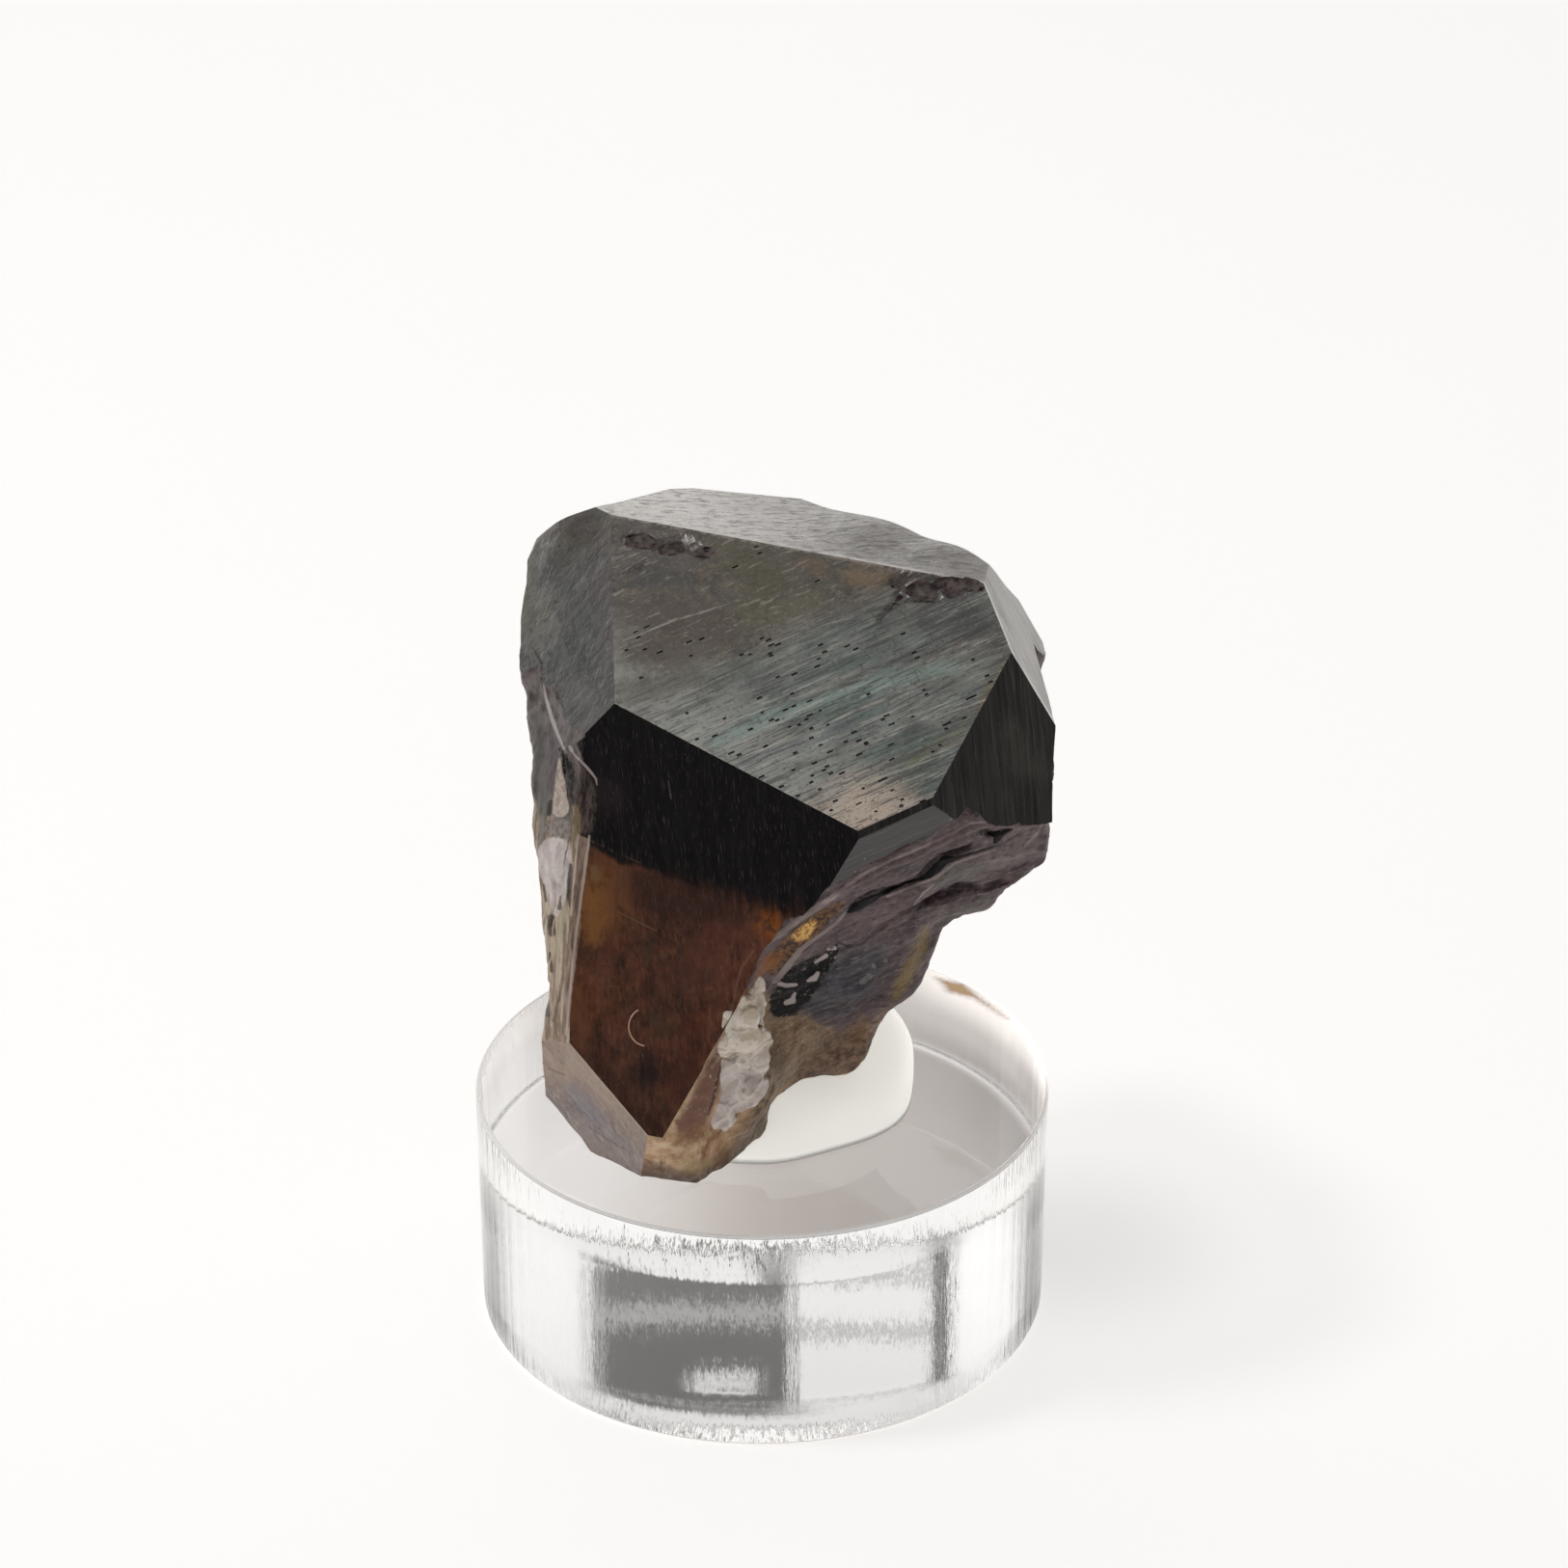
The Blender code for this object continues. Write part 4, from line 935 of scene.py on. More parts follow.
def break_finish():
    """Broken sides: satin purple grey with painted shade in their hollows; beige and brown at the tip and
    foot.
    """
    finish = Finish("broken_side")
    sweep = finish.grain(2.2, 6.0, finish.turned((0.90, 0.37, 0.20), FRONT_BREAK, 2.4), rough=0.68)
    patch = finish.grain(0.9, 5.0, rough=0.6)
    speckle = finish.grain(4.5, 3.0)
    colour = finish.mix(finish.step(sweep, 0.3, 0.7), tone(70, 57, 60), tone(116, 102, 103))
    grit = finish.grain(5.0, 5.0, finish.turned((0.90, 0.37, 0.20), FRONT_BREAK, 1.8), rough=0.72)

    def band(chain, blur, shake=0.0):
        return finish.band(chain, blur, shake, FRONT_SIGHT)

    colour = with_zones(finish, colour, FRONT_ZONES, FRONT_SIGHT)
    blue = finish.near((3.4, -6.4, 18.4), 1.0, 2.9, 1.6)
    slate = finish.mix(finish.step(sweep, 0.35, 0.65), tone(52, 52, 58), tone(90, 88, 92))
    colour = finish.over(colour, slate, blue)
    colour = finish.over(colour, tone(82, 66, 70), band(VIOLET, 0.25, 0.5), 0.55)
    colour = finish.over(colour, tone(136, 114, 72), band(OLIVE_RIM, 0.20, 0.5), 0.8)
    away = finish.product(finish.wander(1.2), 1.5)
    foot = finish.step(
        finish.math("ADD", finish.reach((0.25, 0.25, -0.94), (2.9, -5.4, 15.2)), away), -0.4, 0.9,
    )
    crumbs = finish.grain(2.2, 6.0, rough=0.75)
    brown = finish.mix(finish.step(crumbs, 0.36, 0.64), tone(88, 67, 52), tone(162, 132, 106))
    colour = finish.over(colour, brown, foot, 0.85)
    rust = finish.band(seen((893, 1062, 6.0), (887, 1080, 7.0)), 0.2, 0.5, FRONT_SIGHT)
    colour = finish.over(colour, tone(128, 96, 64), rust, 0.6)
    colour = finish.over(colour, tone(142, 128, 126), finish.step(grit, 0.53, 0.66), 0.55)
    colour = finish.over(colour, tone(38, 29, 31), finish.step(grit, 0.47, 0.36), 0.55)
    share = finish.reach((-0.75, -0.1, -0.65), (1.2, -7.5, 17.9))
    share = finish.step(finish.math("ADD", share, finish.product(finish.wander(1.6), 0.8)), -0.1, 0.25)
    share = finish.product(share, finish.step(finish.reach((0, -1, 0), (0, -4.6, 0)), 0.0, 1.0))
    colour = finish.over(colour, tip_colour(finish), share)
    # Painted glints: light flecks and streaks laid over the black zone.
    glint = finish.product(finish.step(finish.grain(2.6, 5.0, rough=0.75), 0.56, 0.61), 0.5)
    for glint_streak in PAINTED_GLINTS:
        glint = finish.math("MAXIMUM", glint, band(glint_streak, 0.02, 0.10))
    black_with_glints = finish.mix(glint, tone(12, 9, 11), tone(172, 160, 158))
    colour = finish.over(colour, black_with_glints, band(SPARKS, 0.06, 0.5))
    # Painted highlights: light dots.
    for spot in PAINTED_HIGHLIGHT_DOTS:
        colour = finish.over(colour, tone(136, 132, 130), band(spot, 0.04, 0.10), 0.6)
    resin = finish.mix(finish.step(speckle, 0.4, 0.6), tone(58, 38, 26), tone(124, 88, 56))
    colour = finish.over(colour, resin, band(BETWEEN_RIBS, 0.08, 0.25), 0.85)
    gold = finish.mix(
        finish.step(finish.grain(7.0, 3.0), 0.40, 0.58), tone(150, 102, 52), tone(222, 178, 108),
    )
    colour = finish.over(colour, gold, band(GOLD, 0.08, 0.30))
    ember = finish.near((0.15, -9.6, 20.9), 0.3, 1.0, 0.5)
    colour = finish.over(colour, tone(150, 94, 46), ember, 0.6)
    # Painted shade in the hollows of the relief.
    hollow = finish.step(finish.attribute("hollow"), 0.05, 0.20)
    colour = finish.over(colour, tone(34, 26, 28), hollow, 0.5)
    ridge = finish.mix(finish.step(sweep, 0.35, 0.65), tone(120, 107, 104), tone(158, 144, 141))
    for chain in (RIDGE, SHELF_EDGE):
        colour = finish.over(colour, ridge, band(chain, 0.025, 0.04), 0.85)
    for chain in (WEDGE_LIP, HOLLOW_LIP, SECOND_RIB):
        colour = finish.over(colour, tone(148, 134, 130), band(chain, 0.02, 0.05), 0.8)
    cave = finish.mix(finish.step(grit, 0.46, 0.60), tone(44, 32, 37), tone(84, 64, 70))
    colour = finish.over(colour, cave, band(HOLLOW, 0.04, 0.12), 0.9)
    colour = finish.over(colour, tone(44, 33, 35), band(SEAM, 0.03, 0.10), 0.75)
    # Painted shade: near black along the wedge and notch creases.
    for chain in (WEDGE, NOTCH):
        colour = finish.over(colour, tone(14, 9, 11), band(chain, 0.02, 0.06))
    crest = finish.step(finish.attribute("crest"), 0.1, 0.7)
    colour = finish.over(colour, tone(142, 124, 122), crest, 0.25)
    colour = finish.over(colour, tone(78, 62, 46), finish.step(patch, 0.58, 0.70), 0.3)
    ledges = finish.math("MULTIPLY", sweep, 9.0)
    terrace = finish.math(
        "ADD", finish.math("FLOOR", ledges), finish.step(finish.math("FRACT", ledges), 0.0, 0.5),
    )
    height = finish.math("ADD", finish.math("DIVIDE", terrace, 9.0), finish.product(speckle, 0.4))
    rough = finish.step(sweep, 0.3, 0.7, 0.34, 0.50)
    normal_map = finish.bump(height, 0.6, 0.06)
    return finish.close(colour, rough, normal_map, IOR=1.45, Specular_IOR_Level=0.12)


# Features of the left broken side, in pixels of the photograph: place and half width
LEFT_RIDGES = (
    seen((563, 706, 0.6), (566, 722, 1.4), (571, 740, 1.9), (577, 757, 1.6), (585, 776, 0.9)),
    seen((591, 774, 1.5), (593, 778, 1.8)),
)
LEFT_GAP = seen(
    (581, 775, 1.5), (586, 785, 3.0), (589, 800, 6.0), (592, 818, 6.5), (594, 830, 5.0), (594, 838, 2.0),
)
SPIKE = seen((580, 786, 1.0), (580, 800, 3.0), (581, 815, 5.5), (581, 828, 7.0), (581, 838, 8.5))
BLOB = seen((574, 859, 9.5), (584, 860, 9.5))
WHITE_PATCH = seen((575, 886, 16.5), (575, 902, 15.5), (577, 918, 11.5), (578, 934, 7.0), (577, 948, 3.0))
GREY_RIM = seen((556, 740, 5.0), (560, 790, 5.0), (562, 850, 5.0), (559, 880, 3.0), (556, 895, 1.0))
PURPLE = seen((572, 755, 3.0), (571, 790, 7.0), (569, 815, 5.0))
LEFT_DARKS = (
    seen((571, 831, 2.2), (569, 843, 2.4)),
    seen((592, 897, 1.5), (592, 914, 3.8), (592, 929, 4.0), (593, 940, 2.5)),
    seen((581, 930, 1.0), (580, 942, 2.2)), seen((563, 918, 1.2), (566, 935, 1.4)),
    seen((571, 953, 4.0), (572, 968, 4.0)),
    seen((570, 990, 1.6), (572, 1008, 1.6)), seen((567, 1040, 2.2), (568, 1054, 2.4)),
    seen((565, 728, 1.5), (570, 742, 1.2)),
)
LEFT_LINE = seen((586, 958, 1.0), (585, 985, 1.3), (584, 1010, 1.4), (580, 1035, 1.4), (574, 1060, 1.2))


def layered_finish():
    """Left broken side: a purple grey top, a white patch and pale layers that run down it."""
    finish = Finish("layered_side")

    def band(chain, blur, shake=0.0):
        return finish.band(chain, blur, shake, LEFT_SIGHT)

    layers = finish.grain(4.0, 5.0, finish.turned((-0.05, -0.47, -0.88), LEFT_BREAK, 7.0), rough=0.65)
    patch = finish.grain(1.3, 6.0, rough=0.65)
    fleck = finish.grain(5.0, 4.0, rough=0.7)
    colour = finish.mix(finish.step(layers, 0.36, 0.64), tone(140, 118, 100), tone(212, 192, 172))
    olive = finish.near((-8.1, -6.0, 20.4), 0.4, 1.6, 1.0)
    colour = finish.over(colour, tone(206, 194, 168), olive, 0.5)
    rise = finish.math("ADD", finish.reach((0, 0, 1), (0, 0, 23.9)), finish.product(finish.wander(1.4), 0.8))
    upper = finish.mix(finish.step(patch, 0.35, 0.65), tone(84, 74, 74), tone(132, 124, 122))
    colour = finish.over(colour, upper, finish.step(rise, -0.3, 0.2))
    colour = finish.over(colour, tone(92, 78, 82), band(PURPLE, 0.15, 0.5), 0.7)
    colour = finish.over(colour, tone(104, 104, 98), band(GREY_RIM, 0.12, 0.3), 0.7)
    blob = finish.mix(finish.step(fleck, 0.4, 0.6), tone(116, 108, 100), tone(158, 148, 140))
    colour = finish.over(colour, blob, band(BLOB, 0.06, 0.25), 0.9)
    white = finish.mix(finish.step(patch, 0.3, 0.7), tone(194, 180, 177), tone(234, 224, 220))
    white = finish.over(white, tone(160, 146, 138), finish.step(fleck, 0.54, 0.66), 0.4)
    colour = finish.over(colour, white, band(WHITE_PATCH, 0.05, 0.22), 0.95)
    gap = finish.mix(finish.step(fleck, 0.50, 0.66), tone(18, 12, 13), tone(84, 72, 70))
    colour = finish.over(colour, gap, band(LEFT_GAP, 0.05, 0.20))
    horn = finish.mix(finish.step(fleck, 0.4, 0.6), tone(172, 156, 144), tone(206, 192, 180))
    colour = finish.over(colour, horn, band(SPIKE, 0.03, 0.06))
    for dark in LEFT_DARKS:
        colour = finish.over(colour, tone(62, 54, 50), band(dark, 0.03, 0.10), 0.8)
    colour = finish.over(colour, tone(112, 92, 76), band(LEFT_LINE, 0.04, 0.10), 0.7)
    for ridge in LEFT_RIDGES:
        colour = finish.over(colour, tone(196, 184, 182), band(ridge, 0.03, 0.06), 0.9)
    colour = with_ribbon(finish, colour)
    # Painted shade in the hollows of the relief.
    hollow = finish.step(finish.attribute("hollow"), 0.06, 0.22)
    colour = finish.over(colour, tone(52, 42, 38), hollow, 0.4)
    height = finish.math("ADD", finish.product(layers, 0.6), patch)
    rough = finish.step(patch, 0.3, 0.7, 0.34, 0.5)
    return finish.close(colour, rough, finish.bump(height, 0.6, 0.05), IOR=1.45, Specular_IOR_Level=0.15)


def crust_finish():
    """Pale mineral crust: translucent white grains with paler rims and a few dark grains."""
    finish = Finish("pale_crust")
    patch = finish.grain(1.6, 5.0)
    fleck = finish.grain(3.4, 4.0, rough=0.6)
    high = finish.step(
        finish.math("ADD", finish.reach((0, 0, 1), (0, 0, 17.3)), finish.wander(0.8)), -0.8, 0.8,
    )
    colour = finish.mix(finish.step(patch, 0.35, 0.65), tone(178, 163, 155), tone(214, 201, 194))
    warm = finish.mix(finish.step(patch, 0.4, 0.6), tone(198, 182, 158), tone(236, 220, 204))
    colour = finish.over(colour, warm, high, 0.9)
    bent = finish.vector(
        "ADD", finish.place,
        finish.vector("SCALE", finish.vector("MULTIPLY", (1.0, 1.0, 1.0), finish.wander(1.6)), scale=0.8),
    )
    rims = finish.step(finish.cells(0.95, bent, "DISTANCE_TO_EDGE"), 0.16, 0.02)
    colour = finish.over(colour, tone(238, 228, 220), rims, 0.45)
    colour = finish.over(colour, tone(140, 120, 100), finish.step(fleck, 0.60, 0.68), 0.45)
    dots = pits(finish, 1.6, 0.12)
    colour = finish.over(colour, tone(96, 80, 66), dots, 0.7)
    height = finish.math("ADD", finish.math("ADD", fleck, finish.product(patch, 2.0)), rims)
    made = finish.close(
        colour, finish.step(patch, 0.3, 0.7, 0.26, 0.42), finish.bump(height, 0.6, 0.06), IOR=1.56,
    )
    finish.shader.inputs["Subsurface Weight"].default_value = 0.3
    finish.shader.inputs["Subsurface Radius"].default_value = (1.0, 0.8, 0.6)
    finish.shader.inputs["Subsurface Scale"].default_value = 0.4 * MM
    return made


def lint_finish():
    """The curled fibre on the window."""
    finish = Finish("pale_fibre")
    colour = finish.mix(finish.grain(2.0, 2.0), tone(196, 140, 116), tone(224, 186, 166))
    return finish.close(colour, 0.6, IOR=1.5)


def putty_finish():
    """Smooth white putty that lets light through, with a painted glow above the disc's top."""
    finish = Finish("white_putty")
    patch = finish.grain(0.25, 2.0)
    colour = finish.mix(patch, tone(240, 239, 230), tone(247, 246, 240))
    normal_map = finish.bump(finish.grain(0.5, 2.0), 0.25, 0.1)
    made = finish.close(colour, finish.step(patch, 0.3, 0.7, 0.40, 0.48), normal_map, IOR=1.45)
    finish.shader.inputs["Subsurface Weight"].default_value = 0.5
    finish.shader.inputs["Subsurface Radius"].default_value = (1.0, 0.97, 0.85)
    finish.shader.inputs["Subsurface Scale"].default_value = 2.0 * MM
    finish.shader.inputs["Emission Color"].default_value = (1.0, 0.985, 0.93, 1.0)
    # Painted glow (emission) on the putty above the disc, though it is no lamp.
    lift = finish.step(finish.reach((0, 0, 1), (0, 0, 10.0)), 0.02, 0.30, 0.0, 0.50)
    finish.feed(finish.shader.inputs["Emission Strength"], lift)
    return made


def acrylic_finish(height):
    """Clear acrylic with fine upright saw marks near the top and bottom of its side, a painted brown tint for
    amber light through the crystal, and painted glow on its rims, flanks and far wall.
    """
    finish = Finish("clear_acrylic")
    flat = finish.vector("MULTIPLY", finish.place, (1.0, 1.0, 0.0))
    ring = finish.vector("NORMALIZE", flat)
    lift = finish.vector("MULTIPLY", finish.place, (0.0, 0.0, 0.5))
    marks = finish.grain(1.0, 3.0, finish.vector("ADD", finish.vector("SCALE", ring, scale=45.0), lift))
    lift_fine = finish.vector("MULTIPLY", finish.place, (0.0, 0.0, 0.9))
    fine = finish.grain(1.0, 2.0, finish.vector("ADD", finish.vector("SCALE", ring, scale=110.0), lift_fine))
    up = finish.reach((0, 0, 1), (0, 0, 0))
    side = finish.step(finish.vector("DISTANCE", flat, (0, 0, 0)), 11.8, 11.95)
    low_marks = finish.product(
        finish.step(up, 1.6, 0.2), finish.step(finish.reach((0, -1, 0), (0, 0, 0)), -3.0, 3.0, 0.3, 1.0),
    )
    edge = finish.math("ADD", finish.step(up, height - 2.4, height - 0.4), low_marks)
    share = finish.product(side, finish.math("ADD", finish.product(edge, 0.9), 0.10))
    normal_map = finish.bump(finish.product(finish.math("ADD", marks, fine), share), 0.8, 0.05)
    # Painted light: a brown tint where light through the amber crystal falls on the disc.
    amber_light_path = (
        (7.6, 8.5, height, 0.05), (8.5, 7.6, height, 0.55), (9.3, 6.8, height, 0.20),
        (10.5, 5.0, height, 0.05),
    )
    amber_light_tint = finish.band(amber_light_path, 0.30, 0.3)
    colour = finish.mix(amber_light_tint, (1.0, 1.0, 1.0, 1.0), tone(104, 70, 30))
    rim = finish.math("ADD", finish.step(up, height - 0.13, height - 0.07), finish.step(up, 0.13, 0.07))
    rim = finish.product(rim, finish.step(finish.vector("DISTANCE", flat, (0, 0, 0)), 11.86, 11.90))
    rough = finish.math("ADD", finish.product(side, 0.03), finish.product(rim, 0.5))
    made = finish.close(colour, rough, normal_map, IOR=1.49)
    finish.feed(
        finish.shader.inputs["Transmission Weight"], finish.math("SUBTRACT", 1.0, finish.product(rim, 0.7)),
    )
    # Painted glow (emission) on the far wall, the rims and the flanks, though the disc is no lamp.
    right_back = finish.product(
        finish.step(finish.reach((1, 0, 0), (0, 0, 0)), 4.0, 8.5),
        finish.step(finish.reach((0, 1, 0), (0, 0, 0)), -2.0, 2.0),
    )
    far_wall_glow = finish.math("ADD", finish.step(up, 1.0, 4.0, 0.0, 0.12), finish.step(up, 4.0, 9.0, 0.0, 0.42))
    far_wall_glow = finish.product(side, right_back, far_wall_glow)
    aside = finish.math("ABSOLUTE", finish.reach((1, 0, 0), (0, 0, 0)))
    back = finish.product(
        finish.step(finish.reach((0, 1, 0), (0, 0, 0)), 0.0, 4.0), finish.step(up, 5.0, 4.0),
    )
    level = finish.math("ADD", 0.14, finish.product(back, finish.step(aside, 3.0, 5.0, -0.14, 0.04)))
    far_rim_glow = finish.product(rim, level)
    flank = finish.product(side, finish.step(aside, 7.0, 11.0), finish.step(up, 5.0, 7.5))
    glow = finish.math("ADD", far_rim_glow, far_wall_glow)
    finish.feed(
        finish.shader.inputs["Emission Strength"],
        finish.math("ADD", glow, finish.product(flank, FLANK_GLOW)),
    )
    finish.shader.inputs["Emission Color"].default_value = (1.0, 0.95, 0.90, 1.0)
    return made


# Sorts of face that are not growth faces
BROKEN = 100
LAYERED = 101
TIP = 102
PIT = 103
CHIP = 104


def merged_copy(node):
    """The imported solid's mesh in millimetres, with its points joined."""
    bm = bmesh.new()
    bm.from_mesh(node.data)
    bmesh.ops.remove_doubles(bm, verts=bm.verts[:], dist=1e-7)
    bmesh.ops.scale(bm, vec=(1.0 / MM,) * 3, verts=bm.verts)
    return bm


def sort_faces(bm, kind):
    """Numbers each face by the growth face, broken side or chip that it belongs to."""
    crown, roof = face_normal("top front"), face_normal("top")
    crown_away, roof_away = FACE_DISTANCE["top front"], FACE_DISTANCE["top"]
    for face in bm.faces:
        centre = face.calc_center_median()
        face[kind] = BROKEN
        for number, name in enumerate(GROWTH_FACES):
            normal = face_normal(name)
            away = normal.dot(centre - CRYSTAL_CENTRE) - FACE_DISTANCE[name]
            if abs(away) < 0.02 and face.normal.dot(normal) > 0.999:
                face[kind] = number
        under_crown = crown.dot(CRYSTAL_CENTRE - centre) + crown_away
        under_roof = roof.dot(CRYSTAL_CENTRE - centre) + roof_away
        if face[kind] == BROKEN:
            if face.normal.dot(LEFT_BREAK) > 0.75 and LEFT_BREAK.dot(centre - CRYSTAL_CENTRE) > 7.6:
                face[kind] = LAYERED
            elif face.normal.dot(TIP_CUT) > 0.999 or face.normal.dot(FLANK_BEVEL) > 0.999:
                face[kind] = TIP
            elif 0.0 < under_crown < 1.0 and under_roof < 1.6:
                face[kind] = CHIP


def cut_striations(bm, kind, number, normal, along, pitch, step, height):
    """Cuts a growth face into narrow strips along its striations and lifts them unevenly."""
    along = (along - normal * along.dot(normal)).normalized()
    across = normal.cross(along)
    draw = random.Random(number + 1)
    for direction, gap in ((across, pitch), (along, step)):
        reach = [direction.dot(v.co) for f in bm.faces if f[kind] == number for v in f.verts]
        if not reach:
            return
        place = min(reach) + gap * 0.6
        while place < max(reach):
            faces = [f for f in bm.faces if f[kind] == number]
            edges = list({e for f in faces for e in f.edges})
            verts = list({v for f in faces for v in f.verts})
            bmesh.ops.bisect_plane(
                bm, geom=faces + edges + verts, dist=1e-4, plane_co=direction * place, plane_no=direction
            )
            place += gap * (0.6 + 0.8 * draw.random())
    for vert in bm.verts:
        if all(f[kind] == number for f in vert.link_faces):
            lane = Vector((vert.co.dot(across) * 1.6, vert.co.dot(along) * 0.10, number * 3.0))
            fine = Vector((vert.co.dot(across) * 5.0, vert.co.dot(along) * 0.22, number * 5.0))
            vert.co += normal * height * (1.2 * noise.noise(lane) + noise.noise(fine))


def line_distance(point, line):
    """Distance from a point to a chain of straight segments, and its height over the chain."""
    best = (1e9, 0.0)
    for start, end in zip(line, line[1:]):
        start, end = Vector(start), Vector(end)
        along = end - start
        share = min(max((point - start).dot(along) / along.length_squared, 0.0), 1.0)
        away = point - start - along * share
        best = min(best, (away.length, away.z))
    return best


# Creases of the front break, of the left side and beside the chips: chain of points, half width,
# depth (below zero for a ridge). The points were picked in the photograph, placed on the stone
# by a ray cast outside this script and mostly rounded.
FRONT_CREASES = (
    (((8.0, -7.3, 24.75), (6.95, -7.95, 24.6), (6.5, -7.8, 23.95), (6.0, -7.7, 23.4), (5.3, -7.95, 23.3),
      (4.3, -8.4, 23.4), (3.8, -8.6, 23.25), (3.4, -8.65, 22.8)), 0.36, 0.55),
    (((9.45, -6.9, 25.25), (8.9, -7.0, 25.1), (8.6, -7.5, 25.45)), 0.34, 0.40),
    (((9.75, -5.1, 22.1), (8.95, -5.5, 22.1), (8.0, -6.0, 22.3), (7.4, -6.2, 22.2), (6.8, -6.4, 22.1),
      (5.5, -7.15, 21.8)), 0.30, 0.34),
    (((7.6, -6.1, 22.3), (6.5, -6.6, 21.95)), 0.55, 0.26),
    (
        ((5.3, -7.1, 21.6), (4.4, -7.3, 21.1), (3.8, -7.4, 20.75), (3.0, -7.6, 20.4), (2.1, -8.4, 21.1)),
        0.24, 0.16,
    ),
    (((11.2, -5.9, 25.35), (9.5, -7.1, 25.85), (8.2, -7.8, 25.9), (7.25, -8.2, 25.7), (6.15, -8.75, 25.3),
      (4.65, -9.3, 24.85), (3.4, -9.65, 24.25), (2.3, -9.95, 23.8), (1.2, -9.9, 22.95), (0.2, -9.95, 21.9)),
     0.22, -0.12),
    (((10.9, -5.5, 23.9), (9.6, -6.1, 23.9), (8.2, -6.8, 23.9), (7.0, -7.3, 23.4)), 0.55, -0.12),
    (((5.3, -6.4, 19.9), (4.5, -6.3, 18.6), (3.4, -6.0, 16.8)), 0.7, -0.10),
)
LEFT_CREASES = (
    (((-8.79, 0.6, 28.28), (-8.4, -0.49, 27.65), (-8.06, -1.51, 27.08), (-7.79, -2.39, 26.79)), 0.13, -0.10),
    (((-7.6, -2.8, 26.85), (-7.04, -3.77, 26.71), (-6.75, -4.1, 26.45)), 0.12, -0.12),
    (((-7.74, -2.7, 26.35), (-7.66, -3.3, 25.5), (-7.62, -3.8, 24.9)), 0.24, 0.22),
    (((-8.75, 0.0, 27.3), (-8.6, -1.2, 26.2), (-8.55, -2.4, 24.9)), 0.16, 0.10),
    (((-7.5, -5.0, 23.2), (-7.42, -6.1, 21.7)), 0.20, 0.14),
    (((-7.95, -5.2, 21.4), (-7.9, -6.6, 19.6), (-7.95, -7.5, 18.2)), 0.14, 0.12),
    (((-8.1, -4.7, 21.9), (-8.25, -5.6, 20.4)), 0.22, 0.20),
)
CHIP_LINES = (
    (((4.7, -1.3, 31.75), (5.3, -0.7, 32.1), (5.5, -0.1, 32.5)), 0.22, 0.16),
    (((5.3, 0.1, 32.6), (6.5, 0.0, 32.6), (7.6, -0.2, 32.65), (8.75, -0.5, 32.75)), 0.55, 0.26),
    (((5.9, -0.6, 32.2), (6.9, -0.7, 32.25)), 0.30, 0.16),
    (((-5.2, 3.3, 33.1), (-4.3, 2.9, 33.0), (-3.2, 2.9, 33.1), (-2.4, 2.3, 32.85)), 0.42, 0.12),
    (((-5.6, 1.9, 32.3), (-4.6, 2.2, 32.5)), 0.22, 0.07),
)


def crease(verts, normal, creases, hollow, crest):
    """Presses creases into a side, or raises ridges on it, and marks them for its finish."""
    for vert in verts:
        wobble = 0.06 * noise.noise(vert.co * 2.2)
        for line, width, depth in creases:
            away, over = line_distance(vert.co, line)
            away = away * (2.2 if depth > 0.0 and over < 0.0 else 1.0) + wobble
            if away > width:
                continue
            share = 1.0 - away / width
            if depth > 0.0:
                ragged = 0.75 + 0.5 * noise.noise(vert.co * 1.7 + Vector((9.0, 2.0, 4.0)))
                share *= ragged
                vert[hollow] = max(vert[hollow], depth * share)
            elif width < 0.3:
                vert[crest] = max(vert[crest], share)
            vert.co -= normal * depth * share


def settle(verts, normal, plane_distance, hold):
    """Brings a broken side nearer to its mean plane."""
    for vert in verts:
        away = normal.dot(vert.co - CRYSTAL_CENTRE) - plane_distance
        if abs(away) < 1.2 and vert.normal.dot(normal) > 0.45:
            vert.co -= normal * away * hold


def push(verts, centre, reach, shift):
    """Draws a part of a side outward around a point."""
    for vert in verts:
        share = 1.0 - (vert.co - Vector(centre)).length / reach
        if share > 0.0:
            vert.co += Vector(shift) * share * share * (3.0 - 2.0 * share)


def shallow_chips(bm, kind):
    """Makes the chips shallower, more so on the left, and roughens their floors."""
    crown = face_normal("top front")
    chips = [v for v in bm.verts if all(f[kind] == CHIP for f in v.link_faces)]
    for vert in chips:
        depth = FACE_DISTANCE["top front"] - crown.dot(vert.co - CRYSTAL_CENTRE)
        rough = noise.noise(vert.co * 3.0) + 0.6 * noise.noise(vert.co * 7.0)
        hold = 0.75 if vert.co.x < 0.0 else 0.5
        vert.co += crown * (hold * depth + 0.10 * rough)


